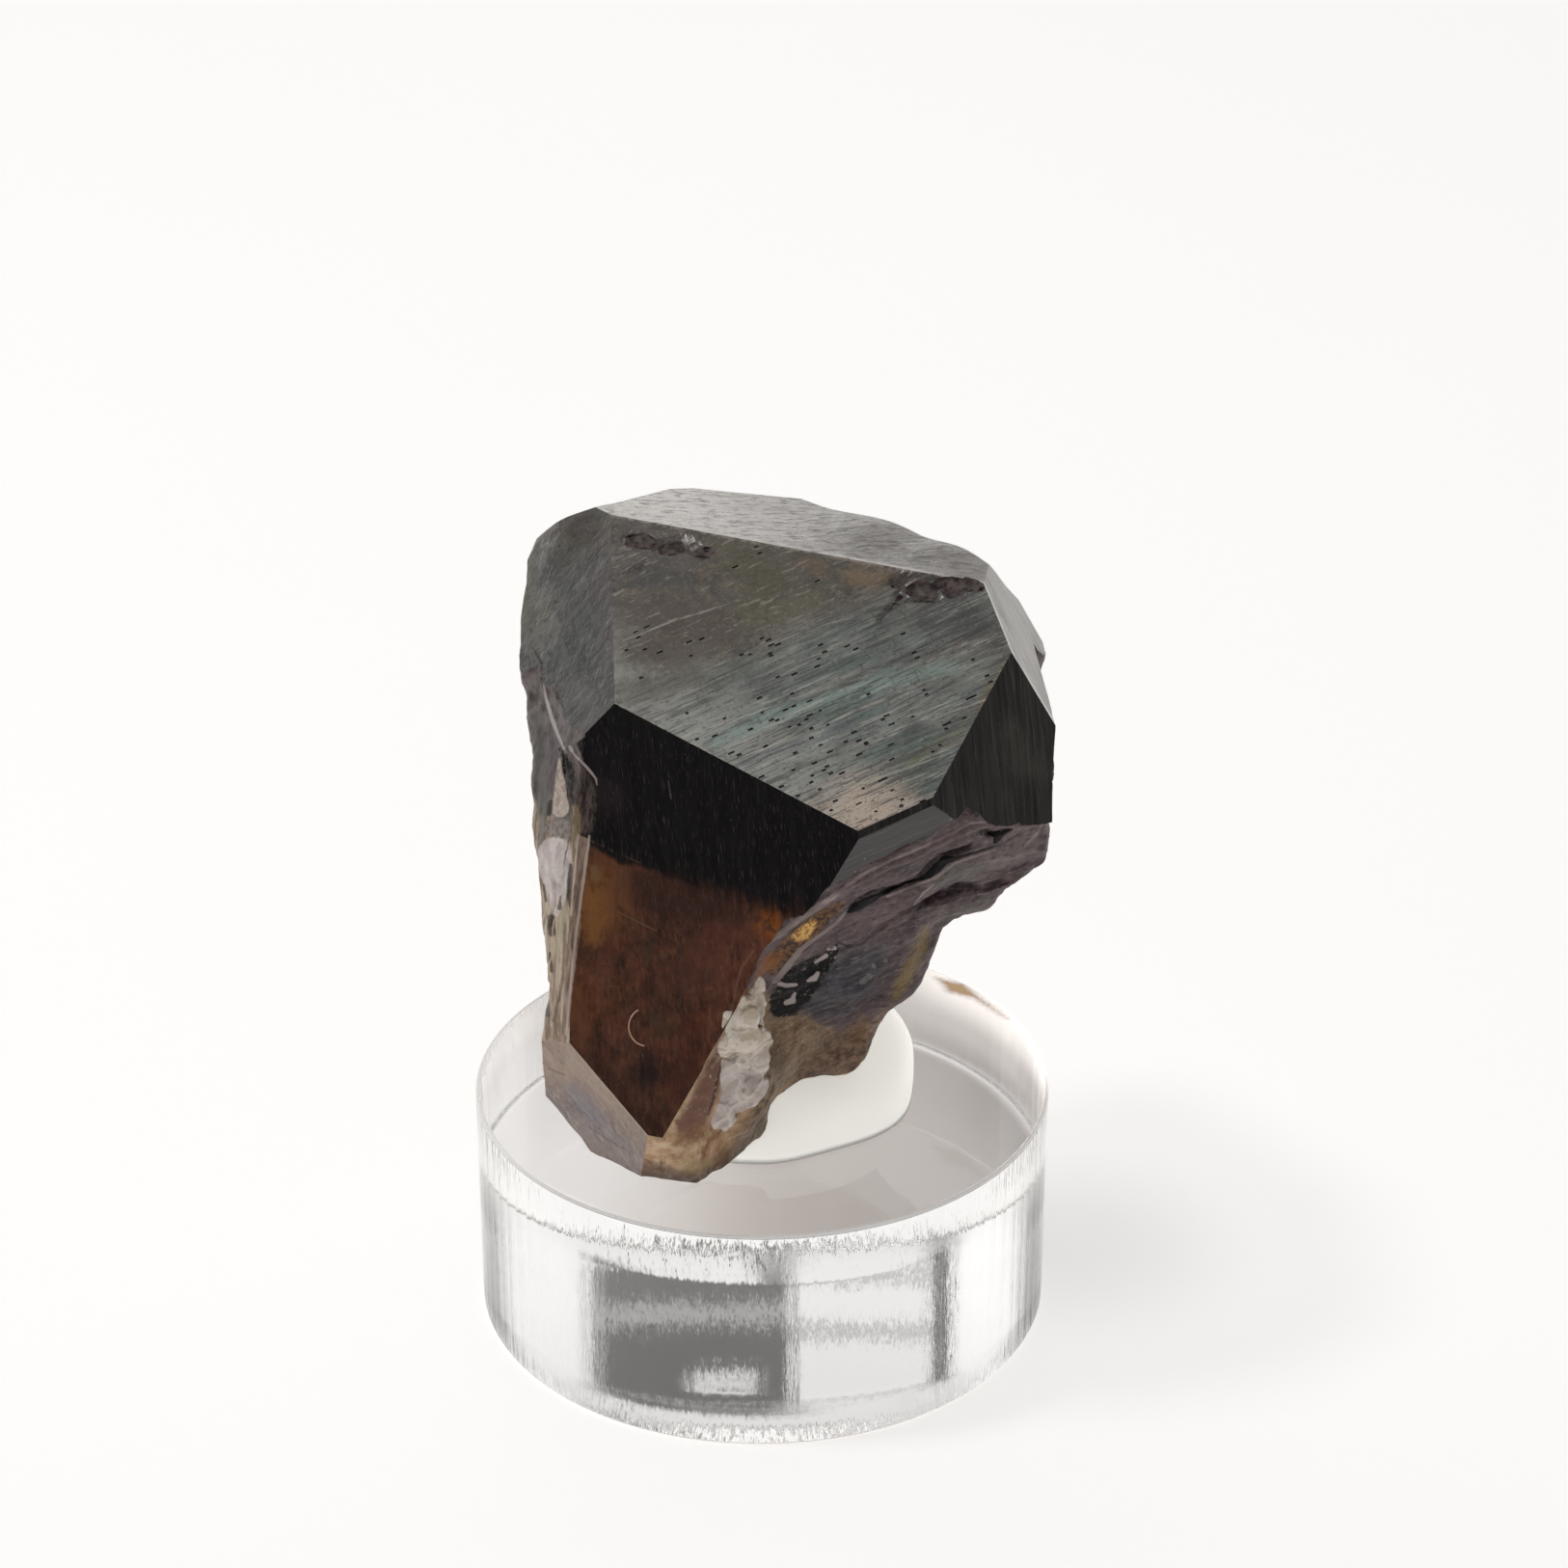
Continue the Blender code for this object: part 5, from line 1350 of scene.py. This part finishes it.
def shape_breaks(bm, kind, hollow, crest):
    """Rounds the coarse ledges of the broken sides and adds creases and finer relief."""
    def free():
        return [v for v in bm.verts if all(f[kind] >= BROKEN for f in v.link_faces)]

    bm.normal_update()
    settle(free(), FRONT_BREAK, 7.17, 0.5)
    push(free(), (1.2, -7.0, 14.2), 2.6, (0.95, -0.15, -0.10))
    push(free(), (3.2, -4.2, 13.7), 1.9, (0.35, -0.20, -0.75))
    push(free(), (10.9, -4.5, 23.5), 2.6, (0.55, 0.0, -0.30))
    push(free(), (7.6, -4.2, 19.2), 2.8, (-0.85, 0.1, 0.40))
    push(free(), (8.4, -4.6, 20.7), 1.8, (0.25, -0.05, -0.10))
    bmesh.ops.smooth_vert(bm, verts=free(), factor=0.5, use_axis_x=True, use_axis_y=True, use_axis_z=True)
    for _ in range(2):
        edges = [e for e in bm.edges if all(f[kind] >= BROKEN for f in e.link_faces)]
        bmesh.ops.subdivide_edges(bm, edges=edges, cuts=1, use_grid_fill=True)
        bmesh.ops.triangulate(bm, faces=[f for f in bm.faces if f[kind] >= BROKEN and len(f.verts) > 3])
        bmesh.ops.smooth_vert(bm, verts=free(), factor=0.4, use_axis_x=True, use_axis_y=True, use_axis_z=True)
    near_front = [e for e in bm.edges if all(f[kind] == BROKEN for f in e.link_faces)
                  and all(v.co.y < -4.0 and v.co.z > 15.0 for v in e.verts) and e.calc_length() > 0.14]
    bmesh.ops.subdivide_edges(bm, edges=near_front, cuts=1, use_grid_fill=True)
    bmesh.ops.triangulate(bm, faces=[f for f in bm.faces if f[kind] >= BROKEN and len(f.verts) > 3])
    bm.normal_update()
    verts = free()
    for vert in verts:
        ring = [e.other_vert(vert).co for e in vert.link_edges]
        middle = sum(ring, Vector()) / len(ring)
        vert[hollow] = max(1.6 * vert.normal.dot(middle - vert.co), 0.0)
        lump = noise.noise(vert.co * 0.9)
        grain = noise.noise(vert.co * 2.6 + Vector((4.0, 1.0, 7.0)))
        fine = noise.noise(vert.co * 6.0 + Vector((1.0, 8.0, 3.0)))
        ledge = 2.4 * noise.noise(vert.co * 0.75 + Vector((6.0, 3.0, 9.0)))
        ledge = math.floor(ledge) + min(1.0, 3.0 * (ledge - math.floor(ledge)))
        vert.co += vert.normal * (0.05 * lump + 0.03 * grain + 0.015 * fine + 0.045 * ledge)
    shallow_chips(bm, kind)
    front = [v for v in verts if v.normal.dot(FRONT_BREAK) > 0.3 and v.co.z > 15.0]
    crease(front, FRONT_BREAK, FRONT_CREASES, hollow, crest)
    left = [v for v in verts if v.normal.dot(LEFT_BREAK) > 0.3]
    crease(left, LEFT_BREAK, LEFT_CREASES, hollow, crest)


def sink_pits(bm, kind, number, count):
    """Sinks small square pits into the lower part of a growth face."""
    draw = random.Random(31)
    bm.faces.index_update()
    faces = [f for f in bm.faces if f[kind] == number and 0.010 < f.calc_area() < 0.030 and len(f.verts) == 4]
    faces = [f for f in faces if draw.random() < 0.15 + 0.85 * (f.calc_center_median().z < 31.0)]
    chosen = draw.sample(faces, count)
    made = bmesh.ops.inset_individual(bm, faces=chosen, thickness=0.016, depth=-0.06)
    for face in chosen + made["faces"]:
        face[kind] = PIT


def finished_piece(name, bm, materials):
    """Scales a mesh to metres and puts it in the scene."""
    bmesh.ops.scale(bm, vec=(MM, MM, MM), verts=bm.verts)
    mesh = bpy.data.meshes.new(name)
    bm.to_mesh(mesh)
    bm.free()
    if "custom_normal" in mesh.attributes:
        mesh.attributes.remove(mesh.attributes["custom_normal"])
    for material in materials:
        mesh.materials.append(material)
    piece = bpy.data.objects.new(name, mesh)
    bpy.context.scene.collection.objects.link(piece)
    return piece


def build_crystal():
    """The crystal's visible mesh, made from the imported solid."""
    bm = merged_copy(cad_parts["garnet_crystal"])
    kind = bm.faces.layers.int.new("kind")
    hollow = bm.verts.layers.float.new("hollow")
    crest = bm.verts.layers.float.new("crest")
    bm.normal_update()
    sort_faces(bm, kind)
    flat = [
        e for e in bm.edges
        if len({f[kind] for f in e.link_faces}) == 1 and e.link_faces[0][kind] < BROKEN
    ]
    bmesh.ops.dissolve_limit(bm, angle_limit=0.01, verts=[], edges=flat)
    for number, name in enumerate(GROWTH_FACES):
        along, pitch, step, height = GROWTH_FACES[name][2:]
        cut_striations(bm, kind, number, face_normal(name), along, pitch, step, height)
    shape_breaks(bm, kind, hollow, crest)
    push(bm.verts, (5.2, 6.4, 32.1), 4.6, (0.0, 0.10, 0.40))
    push(bm.verts, (7.8, 3.4, 32.3), 2.6, (0.10, 0.10, 0.34))
    push(bm.verts, (-7.8, 5.9, 32.5), 2.4, (-0.22, 0.0, 0.20))
    crown = [v for v in bm.verts if all(f[kind] == 0 for f in v.link_faces)]
    crease(crown, face_normal("top front"), CHIP_LINES, hollow, crest)
    sink_pits(bm, kind, 0, 110)
    makers = {
        "crown_top": crown_top_finish, "roof": roof_finish, "pale_shoulder": pale_shoulder_finish,
        "window": window_finish, "keel": keel_finish,
        "dark_side": dark_side_finish, "narrow_front": narrow_front_finish,
        "mottled_side": mottled_side_finish, "crown_back": crown_back_finish,
    }
    order = list(makers)
    names = list(GROWTH_FACES)
    extra = {BROKEN: 0, TIP: 0, LAYERED: 1, PIT: 2, CHIP: 3}
    for face in bm.faces:
        number = face[kind]
        if number >= BROKEN:
            face.material_index = len(order) + extra[number]
        else:
            face.material_index = order.index(GROWTH_FACES[names[number]][0])
        face.smooth = number in (BROKEN, TIP, LAYERED, CHIP)
    materials = [makers[name]() for name in order]
    materials += [break_finish(), layered_finish(), pit_finish(), chip_finish()]
    return finished_piece("garnet", bm, materials)


def build_putty():
    """The pressed putty, resting on the disc and touching the crystal."""
    bm = bmesh.new()
    bmesh.ops.create_uvsphere(bm, u_segments=96, v_segments=56, radius=1.0)
    for vert in bm.verts:
        level = math.copysign(abs(vert.co.z) ** PUTTY_SQUARE, vert.co.z)
        flat = Vector((vert.co.x, vert.co.y, 0.0))
        spread = max(1.0 - abs(level) ** (2.0 / PUTTY_SQUARE), 0.0) ** (PUTTY_SQUARE / 2)
        if flat.length > 1e-6:
            flat = flat.normalized() * spread
        lump = 1.0 + PUTTY_LUMPS / PUTTY_RADIUS * noise.noise(vert.co * 1.6 + Vector((2.0, 5.0, 8.0)))
        rise = PUTTY_RISE * level * (1.0 + 0.10 * flat.y)
        wide = PUTTY_RADIUS * lump
        vert.co = PUTTY_MIDDLE + Vector((flat.x * wide, flat.y * wide, rise * lump))
    cut = bmesh.ops.bisect_plane(
        bm, geom=bm.verts[:] + bm.edges[:] + bm.faces[:],
        plane_co=(0.0, 0.0, PUTTY_UNDERSIDE), plane_no=(0.0, 0.0, -1.0), clear_outer=True,
    )
    rim = [part for part in cut["geom_cut"] if isinstance(part, bmesh.types.BMEdge)]
    bmesh.ops.contextual_create(bm, geom=rim)
    bmesh.ops.recalc_face_normals(bm, faces=bm.faces[:])
    for face in bm.faces:
        face.smooth = len(face.verts) < 5
    return finished_piece("putty", bm, [putty_finish()])


# Plates of the crust on the flank's bevel: place to the right and up, half sizes, lean in degrees
CRUST_MIDDLE = Vector((-0.75, -11.1, 17.2))
CRUST_PLATES = (
    (0.10, -1.15, 1.05, 1.30, -20), (-0.62, -2.35, 0.66, 0.66, 0), (-0.30, -2.85, 0.46, 0.46, 20),
    (0.80, -1.35, 0.56, 0.50, 30), (0.00, 0.20, 0.80, 1.05, -10), (0.10, 1.40, 0.66, 1.05, -18),
    (0.36, 2.25, 0.50, 0.60, 0), (0.90, 2.20, 0.56, 0.50, 10), (1.25, 2.80, 0.24, 0.46, -20),
    (0.95, 1.35, 0.56, 0.92, 0), (1.35, 1.70, 0.34, 0.40, 0), (1.05, 0.60, 0.46, 0.60, 0),
    (0.95, -0.30, 0.44, 0.80, 8), (-0.45, 0.85, 0.34, 0.52, 0), (0.50, -0.50, 0.76, 0.80, 0),
    (-0.25, -1.90, 0.70, 0.66, 0), (-0.40, -0.55, 0.52, 0.74, -15), (0.55, 1.0, 0.5, 0.6, 0),
    (0.55, 1.9, 0.4, 0.5, 0),
    (0.5, 0.1, 0.5, 0.6, 0),
)


def build_crust(crystal):
    """Thin overlapping plates of pale crust that lie on the flank's bevel."""
    surface = BVHTree.FromObject(crystal, bpy.context.evaluated_depsgraph_get())
    right = Vector((0.936, 0.352, 0.0)).normalized()
    up = FLANK_BEVEL.cross(right).normalized()
    if up.z < 0.0:
        up = -up
    draw = random.Random(8)
    bm = bmesh.new()
    for aside, height, wide, tall, lean in CRUST_PLATES:
        start = CRUST_MIDDLE + right * aside + up * height + FLANK_BEVEL * 3.0
        hit = surface.ray_cast(start * MM, -FLANK_BEVEL)
        if hit[0] is None:
            continue
        seat = hit[0] / MM + FLANK_BEVEL * 0.03
        made = bmesh.ops.create_icosphere(bm, subdivisions=4, radius=1.0)
        turn = Matrix.Rotation(math.radians(lean), 3, "Y")
        frame_of = Matrix((right, FLANK_BEVEL, up)).transposed()
        thick = 0.11 + 0.09 * draw.random()
        for vert in made["verts"]:
            shift = 1.0 + 0.30 * noise.noise(vert.co * 2.2 + Vector((aside, height, 3.0)) * 3.0)
            top = math.copysign(abs(vert.co.y) ** 0.35, vert.co.y)
            flat = Vector((vert.co.x * wide * shift, top * thick, vert.co.z * tall * shift))
            vert.co = seat + frame_of @ (turn @ flat)
    piece = finished_piece("pale_crust", bm, [crust_finish()])
    remesh = piece.modifiers.new("joined", "REMESH")
    remesh.mode = "VOXEL"
    remesh.voxel_size = 0.045 * MM
    remesh.use_smooth_shade = True
    return piece


def build_lint():
    """One short curled fibre on the amber window."""
    normal = face_normal("front left")
    middle = Vector((-4.35, -9.62, 18.15))
    middle += normal * (FACE_DISTANCE["front left"] + 0.03 - normal.dot(middle - CRYSTAL_CENTRE))
    spoke = Vector((-4.72, -9.34, 18.74)) - middle
    spoke -= normal * spoke.dot(normal)
    bm = bmesh.new()
    ring = bmesh.ops.create_circle(bm, cap_ends=True, segments=8, radius=0.032)
    face_turn = spoke.cross(normal).normalized().to_track_quat("Z", "Y").to_matrix().to_4x4()
    bmesh.ops.transform(bm, matrix=Matrix.Translation(middle + spoke) @ face_turn, verts=ring["verts"])
    bmesh.ops.spin(
        bm, geom=bm.faces[:] + bm.edges[:] + bm.verts[:], cent=middle, axis=normal,
        angle=math.radians(150.0), steps=28, use_merge=False,
    )
    bmesh.ops.recalc_face_normals(bm, faces=bm.faces[:])
    for face in bm.faces:
        face.smooth = True
    return finished_piece("lint_fibre", bm, [lint_finish()])


# Light that the table gives off, less of it under the disc, and where that shade ends
FLOOR_GLOW = 0.66
FLOOR_GLOW_UNDER = 0.33
SHADE_INNER = 11.4
SHADE_OUTER = 12.2


def build_floor():
    """Pale table; it is darker under the disc, which stands in its own shade."""
    bm = bmesh.new()
    bmesh.ops.create_grid(bm, x_segments=1, y_segments=1, size=4000.0)
    bmesh.ops.translate(bm, vec=(0.0, 0.0, -0.02), verts=bm.verts)
    finish = Finish("pale_table")
    colour = finish.mix(finish.grain(0.01, 2.0), tone(205, 204, 202), tone(210, 209, 207))
    away = finish.vector("DISTANCE", finish.place, (0.0, 0.0, 0.0))
    glow = finish.step(away, SHADE_INNER, SHADE_OUTER, FLOOR_GLOW_UNDER, FLOOR_GLOW)
    under_disc = finish.step(away, SHADE_OUTER, SHADE_INNER)
    side = finish.reach((1.0, 0.0, 0.0), (0.0, 0.0, 0.0))
    glow = finish.math("ADD", glow, finish.product(under_disc, finish.step(side, 2.0, -10.0, 0.0, 0.27)))
    dusk = finish.product(under_disc, finish.step(side, -2.0, 8.0, 0.0, 0.07))
    glow = finish.math("SUBTRACT", glow, dusk)
    shade = finish.near((13.8, 3.0, 0.0), 1.0, 9.0)
    glow = finish.math("SUBTRACT", glow, finish.product(shade, 0.12))
    under = finish.mix(finish.step(side, 2.0, -10.0), (1.0, 0.89, 0.83, 1.0), (1.0, 0.97, 0.95, 1.0))
    glow_colour = finish.mix(finish.step(away, SHADE_INNER, SHADE_OUTER), under, (1.0, 0.985, 0.972, 1.0))
    material = finish.close(colour, 0.6)
    finish.feed(finish.shader.inputs["Emission Color"], glow_colour)
    finish.feed(finish.shader.inputs["Emission Strength"], glow)
    floor = finished_piece("table", bm, [material])


def build_camera():
    """The camera of the photograph."""
    lens = bpy.data.cameras.new("camera")
    lens.sensor_width = 36.0
    lens.lens = 36.0 * FOCAL_PIXELS / PICTURE_SIZE
    lens.clip_start = 0.005
    camera = bpy.data.objects.new("camera", lens)
    camera.location = CAMERA_PLACE * MM
    camera.rotation_euler = (CAMERA_TILT, 0.0, 0.0)
    bpy.context.scene.collection.objects.link(camera)
    bpy.context.scene.camera = camera


class Sky(Nodes):
    """The room's light by direction: x to the side, y behind the stone, z up."""

    def __init__(self, tree):
        super().__init__(tree)
        place = tree.nodes.new("ShaderNodeTexCoord").outputs["Generated"]
        split = tree.nodes.new("ShaderNodeSeparateXYZ")
        tree.links.new(place, split.inputs[0])
        self.side, self.behind, self.high = split.outputs

    def between(self, value, low, high, blur):
        return self.product(
            self.step(value, low - blur, low + blur), self.step(value, high + blur, high - blur),
        )

    def dim(self, light, share, level):
        """Takes the light down to a level where the share is 1."""
        return self.math(
            "ADD", self.product(light, self.math("SUBTRACT", 1.0, share)), self.product(share, level),
        )


def build_light():
    """Soft white room light: overhead, and from windows behind the stone."""
    scene = bpy.context.scene
    scene.view_settings.view_transform = "Standard"
    world = bpy.data.worlds.new("studio")
    scene.world = world
    world.use_nodes = True
    tree = world.node_tree
    sky = Sky(tree)
    overhead = sky.step(sky.high, 0.70, 0.97, 0.0, OVERHEAD_LIGHT)
    low_behind = sky.product(sky.between(sky.high, -0.5, 0.27, 0.06), sky.step(sky.behind, 0.25, 0.6))
    low_behind = sky.product(low_behind, sky.step(sky.side, 0.02, 0.11, LOW_LIGHT, 0.6 * LOW_LIGHT))
    foot = sky.step(sky.high, 0.5910, 0.5890)
    block = sky.product(sky.step(sky.side, -0.078, -0.054), sky.step(sky.side, 0.45, 0.36), foot)
    dark_block = sky.product(block, sky.step(sky.high, 0.5550, 0.5580))
    dark_room = sky.product(
        block, sky.step(sky.high, 0.50, 0.54), sky.step(sky.high, 0.560, 0.580, 0.0, 0.25),
    )
    fill = sky.product(sky.step(sky.behind, -0.8, 0.6, 0.04, 0.12), sky.math("SUBTRACT", 1.0, dark_room))
    window = sky.between(sky.high, 0.47, 0.70, 0.03)
    pane = sky.step(sky.side, -0.55, -0.40, 0.9, 0.72)
    pane = sky.math("ADD", pane, sky.step(sky.side, 0.38, 0.50, 0.0, 0.08))
    pane = sky.product(pane, sky.step(sky.high, 0.562, 0.585, 1.0, 0.88))
    window_light = sky.dim(pane, dark_block, 0.0)
    post = sky.product(sky.between(sky.side, -0.066, 0.004, 0.006), foot)
    window_light = sky.dim(window_light, sky.product(post, 0.8), 0.01)
    shelf = sky.product(block, sky.between(sky.high, 0.5660, 0.5700, 0.001))
    window_light = sky.dim(window_light, sky.product(shelf, 0.8), 0.35)
    glint = sky.product(
        sky.between(sky.side, 0.01, 0.155, 0.02), sky.between(sky.high, 0.5805, 0.5845, 0.0012),
    )
    window_light = sky.dim(window_light, glint, 0.6)
    panes = sky.between(sky.side, -0.46, -0.06, 0.01)
    for level in (0.5595, 0.5717):
        bar = sky.product(panes, sky.between(sky.high, level - 0.0014, level + 0.0014, 0.0008))
        window_light = sky.dim(window_light, sky.product(bar, 0.85), 0.2)
    jamb = sky.product(sky.between(sky.side, -0.468, -0.412, 0.006), foot)
    window_light = sky.dim(window_light, jamb, 0.0)
    window_light = sky.product(window_light, window, sky.step(sky.behind, 0.25, 0.45))
    total = sky.math("ADD", sky.math("ADD", overhead, low_behind), sky.math("ADD", fill, window_light))
    pick = tree.nodes.new("ShaderNodeMix")
    tree.links.new(tree.nodes.new("ShaderNodeLightPath").outputs["Is Camera Ray"], pick.inputs["Factor"])
    sky.feed(pick.inputs["A"], total)
    pick.inputs["B"].default_value = BACKGROUND_LIGHT
    tree.links.new(pick.outputs["Result"], tree.nodes["Background"].inputs["Strength"])
    tree.nodes["Background"].inputs["Color"].default_value = (1.0, 0.985, 0.97, 1.0)

    lamp = bpy.data.lights.new("key", "AREA")
    lamp.shape = "DISK"
    lamp.size = 0.06
    lamp.energy = KEY_POWER
    key = bpy.data.objects.new("key", lamp)
    key.location = KEY_PLACE
    key.rotation_euler = (Vector((0.0, 0.0, 0.02)) - key.location).to_track_quat("-Z", "Y").to_euler()
    scene.collection.objects.link(key)


crystal = build_crystal()
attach(crystal, "root")
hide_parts("garnet_crystal")

putty = build_putty()
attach(putty, "root")
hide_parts("mounting_putty")

crust = build_crust(crystal)
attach(crust, "root")

lint = build_lint()
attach(lint, "root")

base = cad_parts["acrylic_base"]
base.data.materials.clear()
base.data.materials.append(acrylic_finish(DISC_HEIGHT))

build_floor()
build_camera()
build_light()
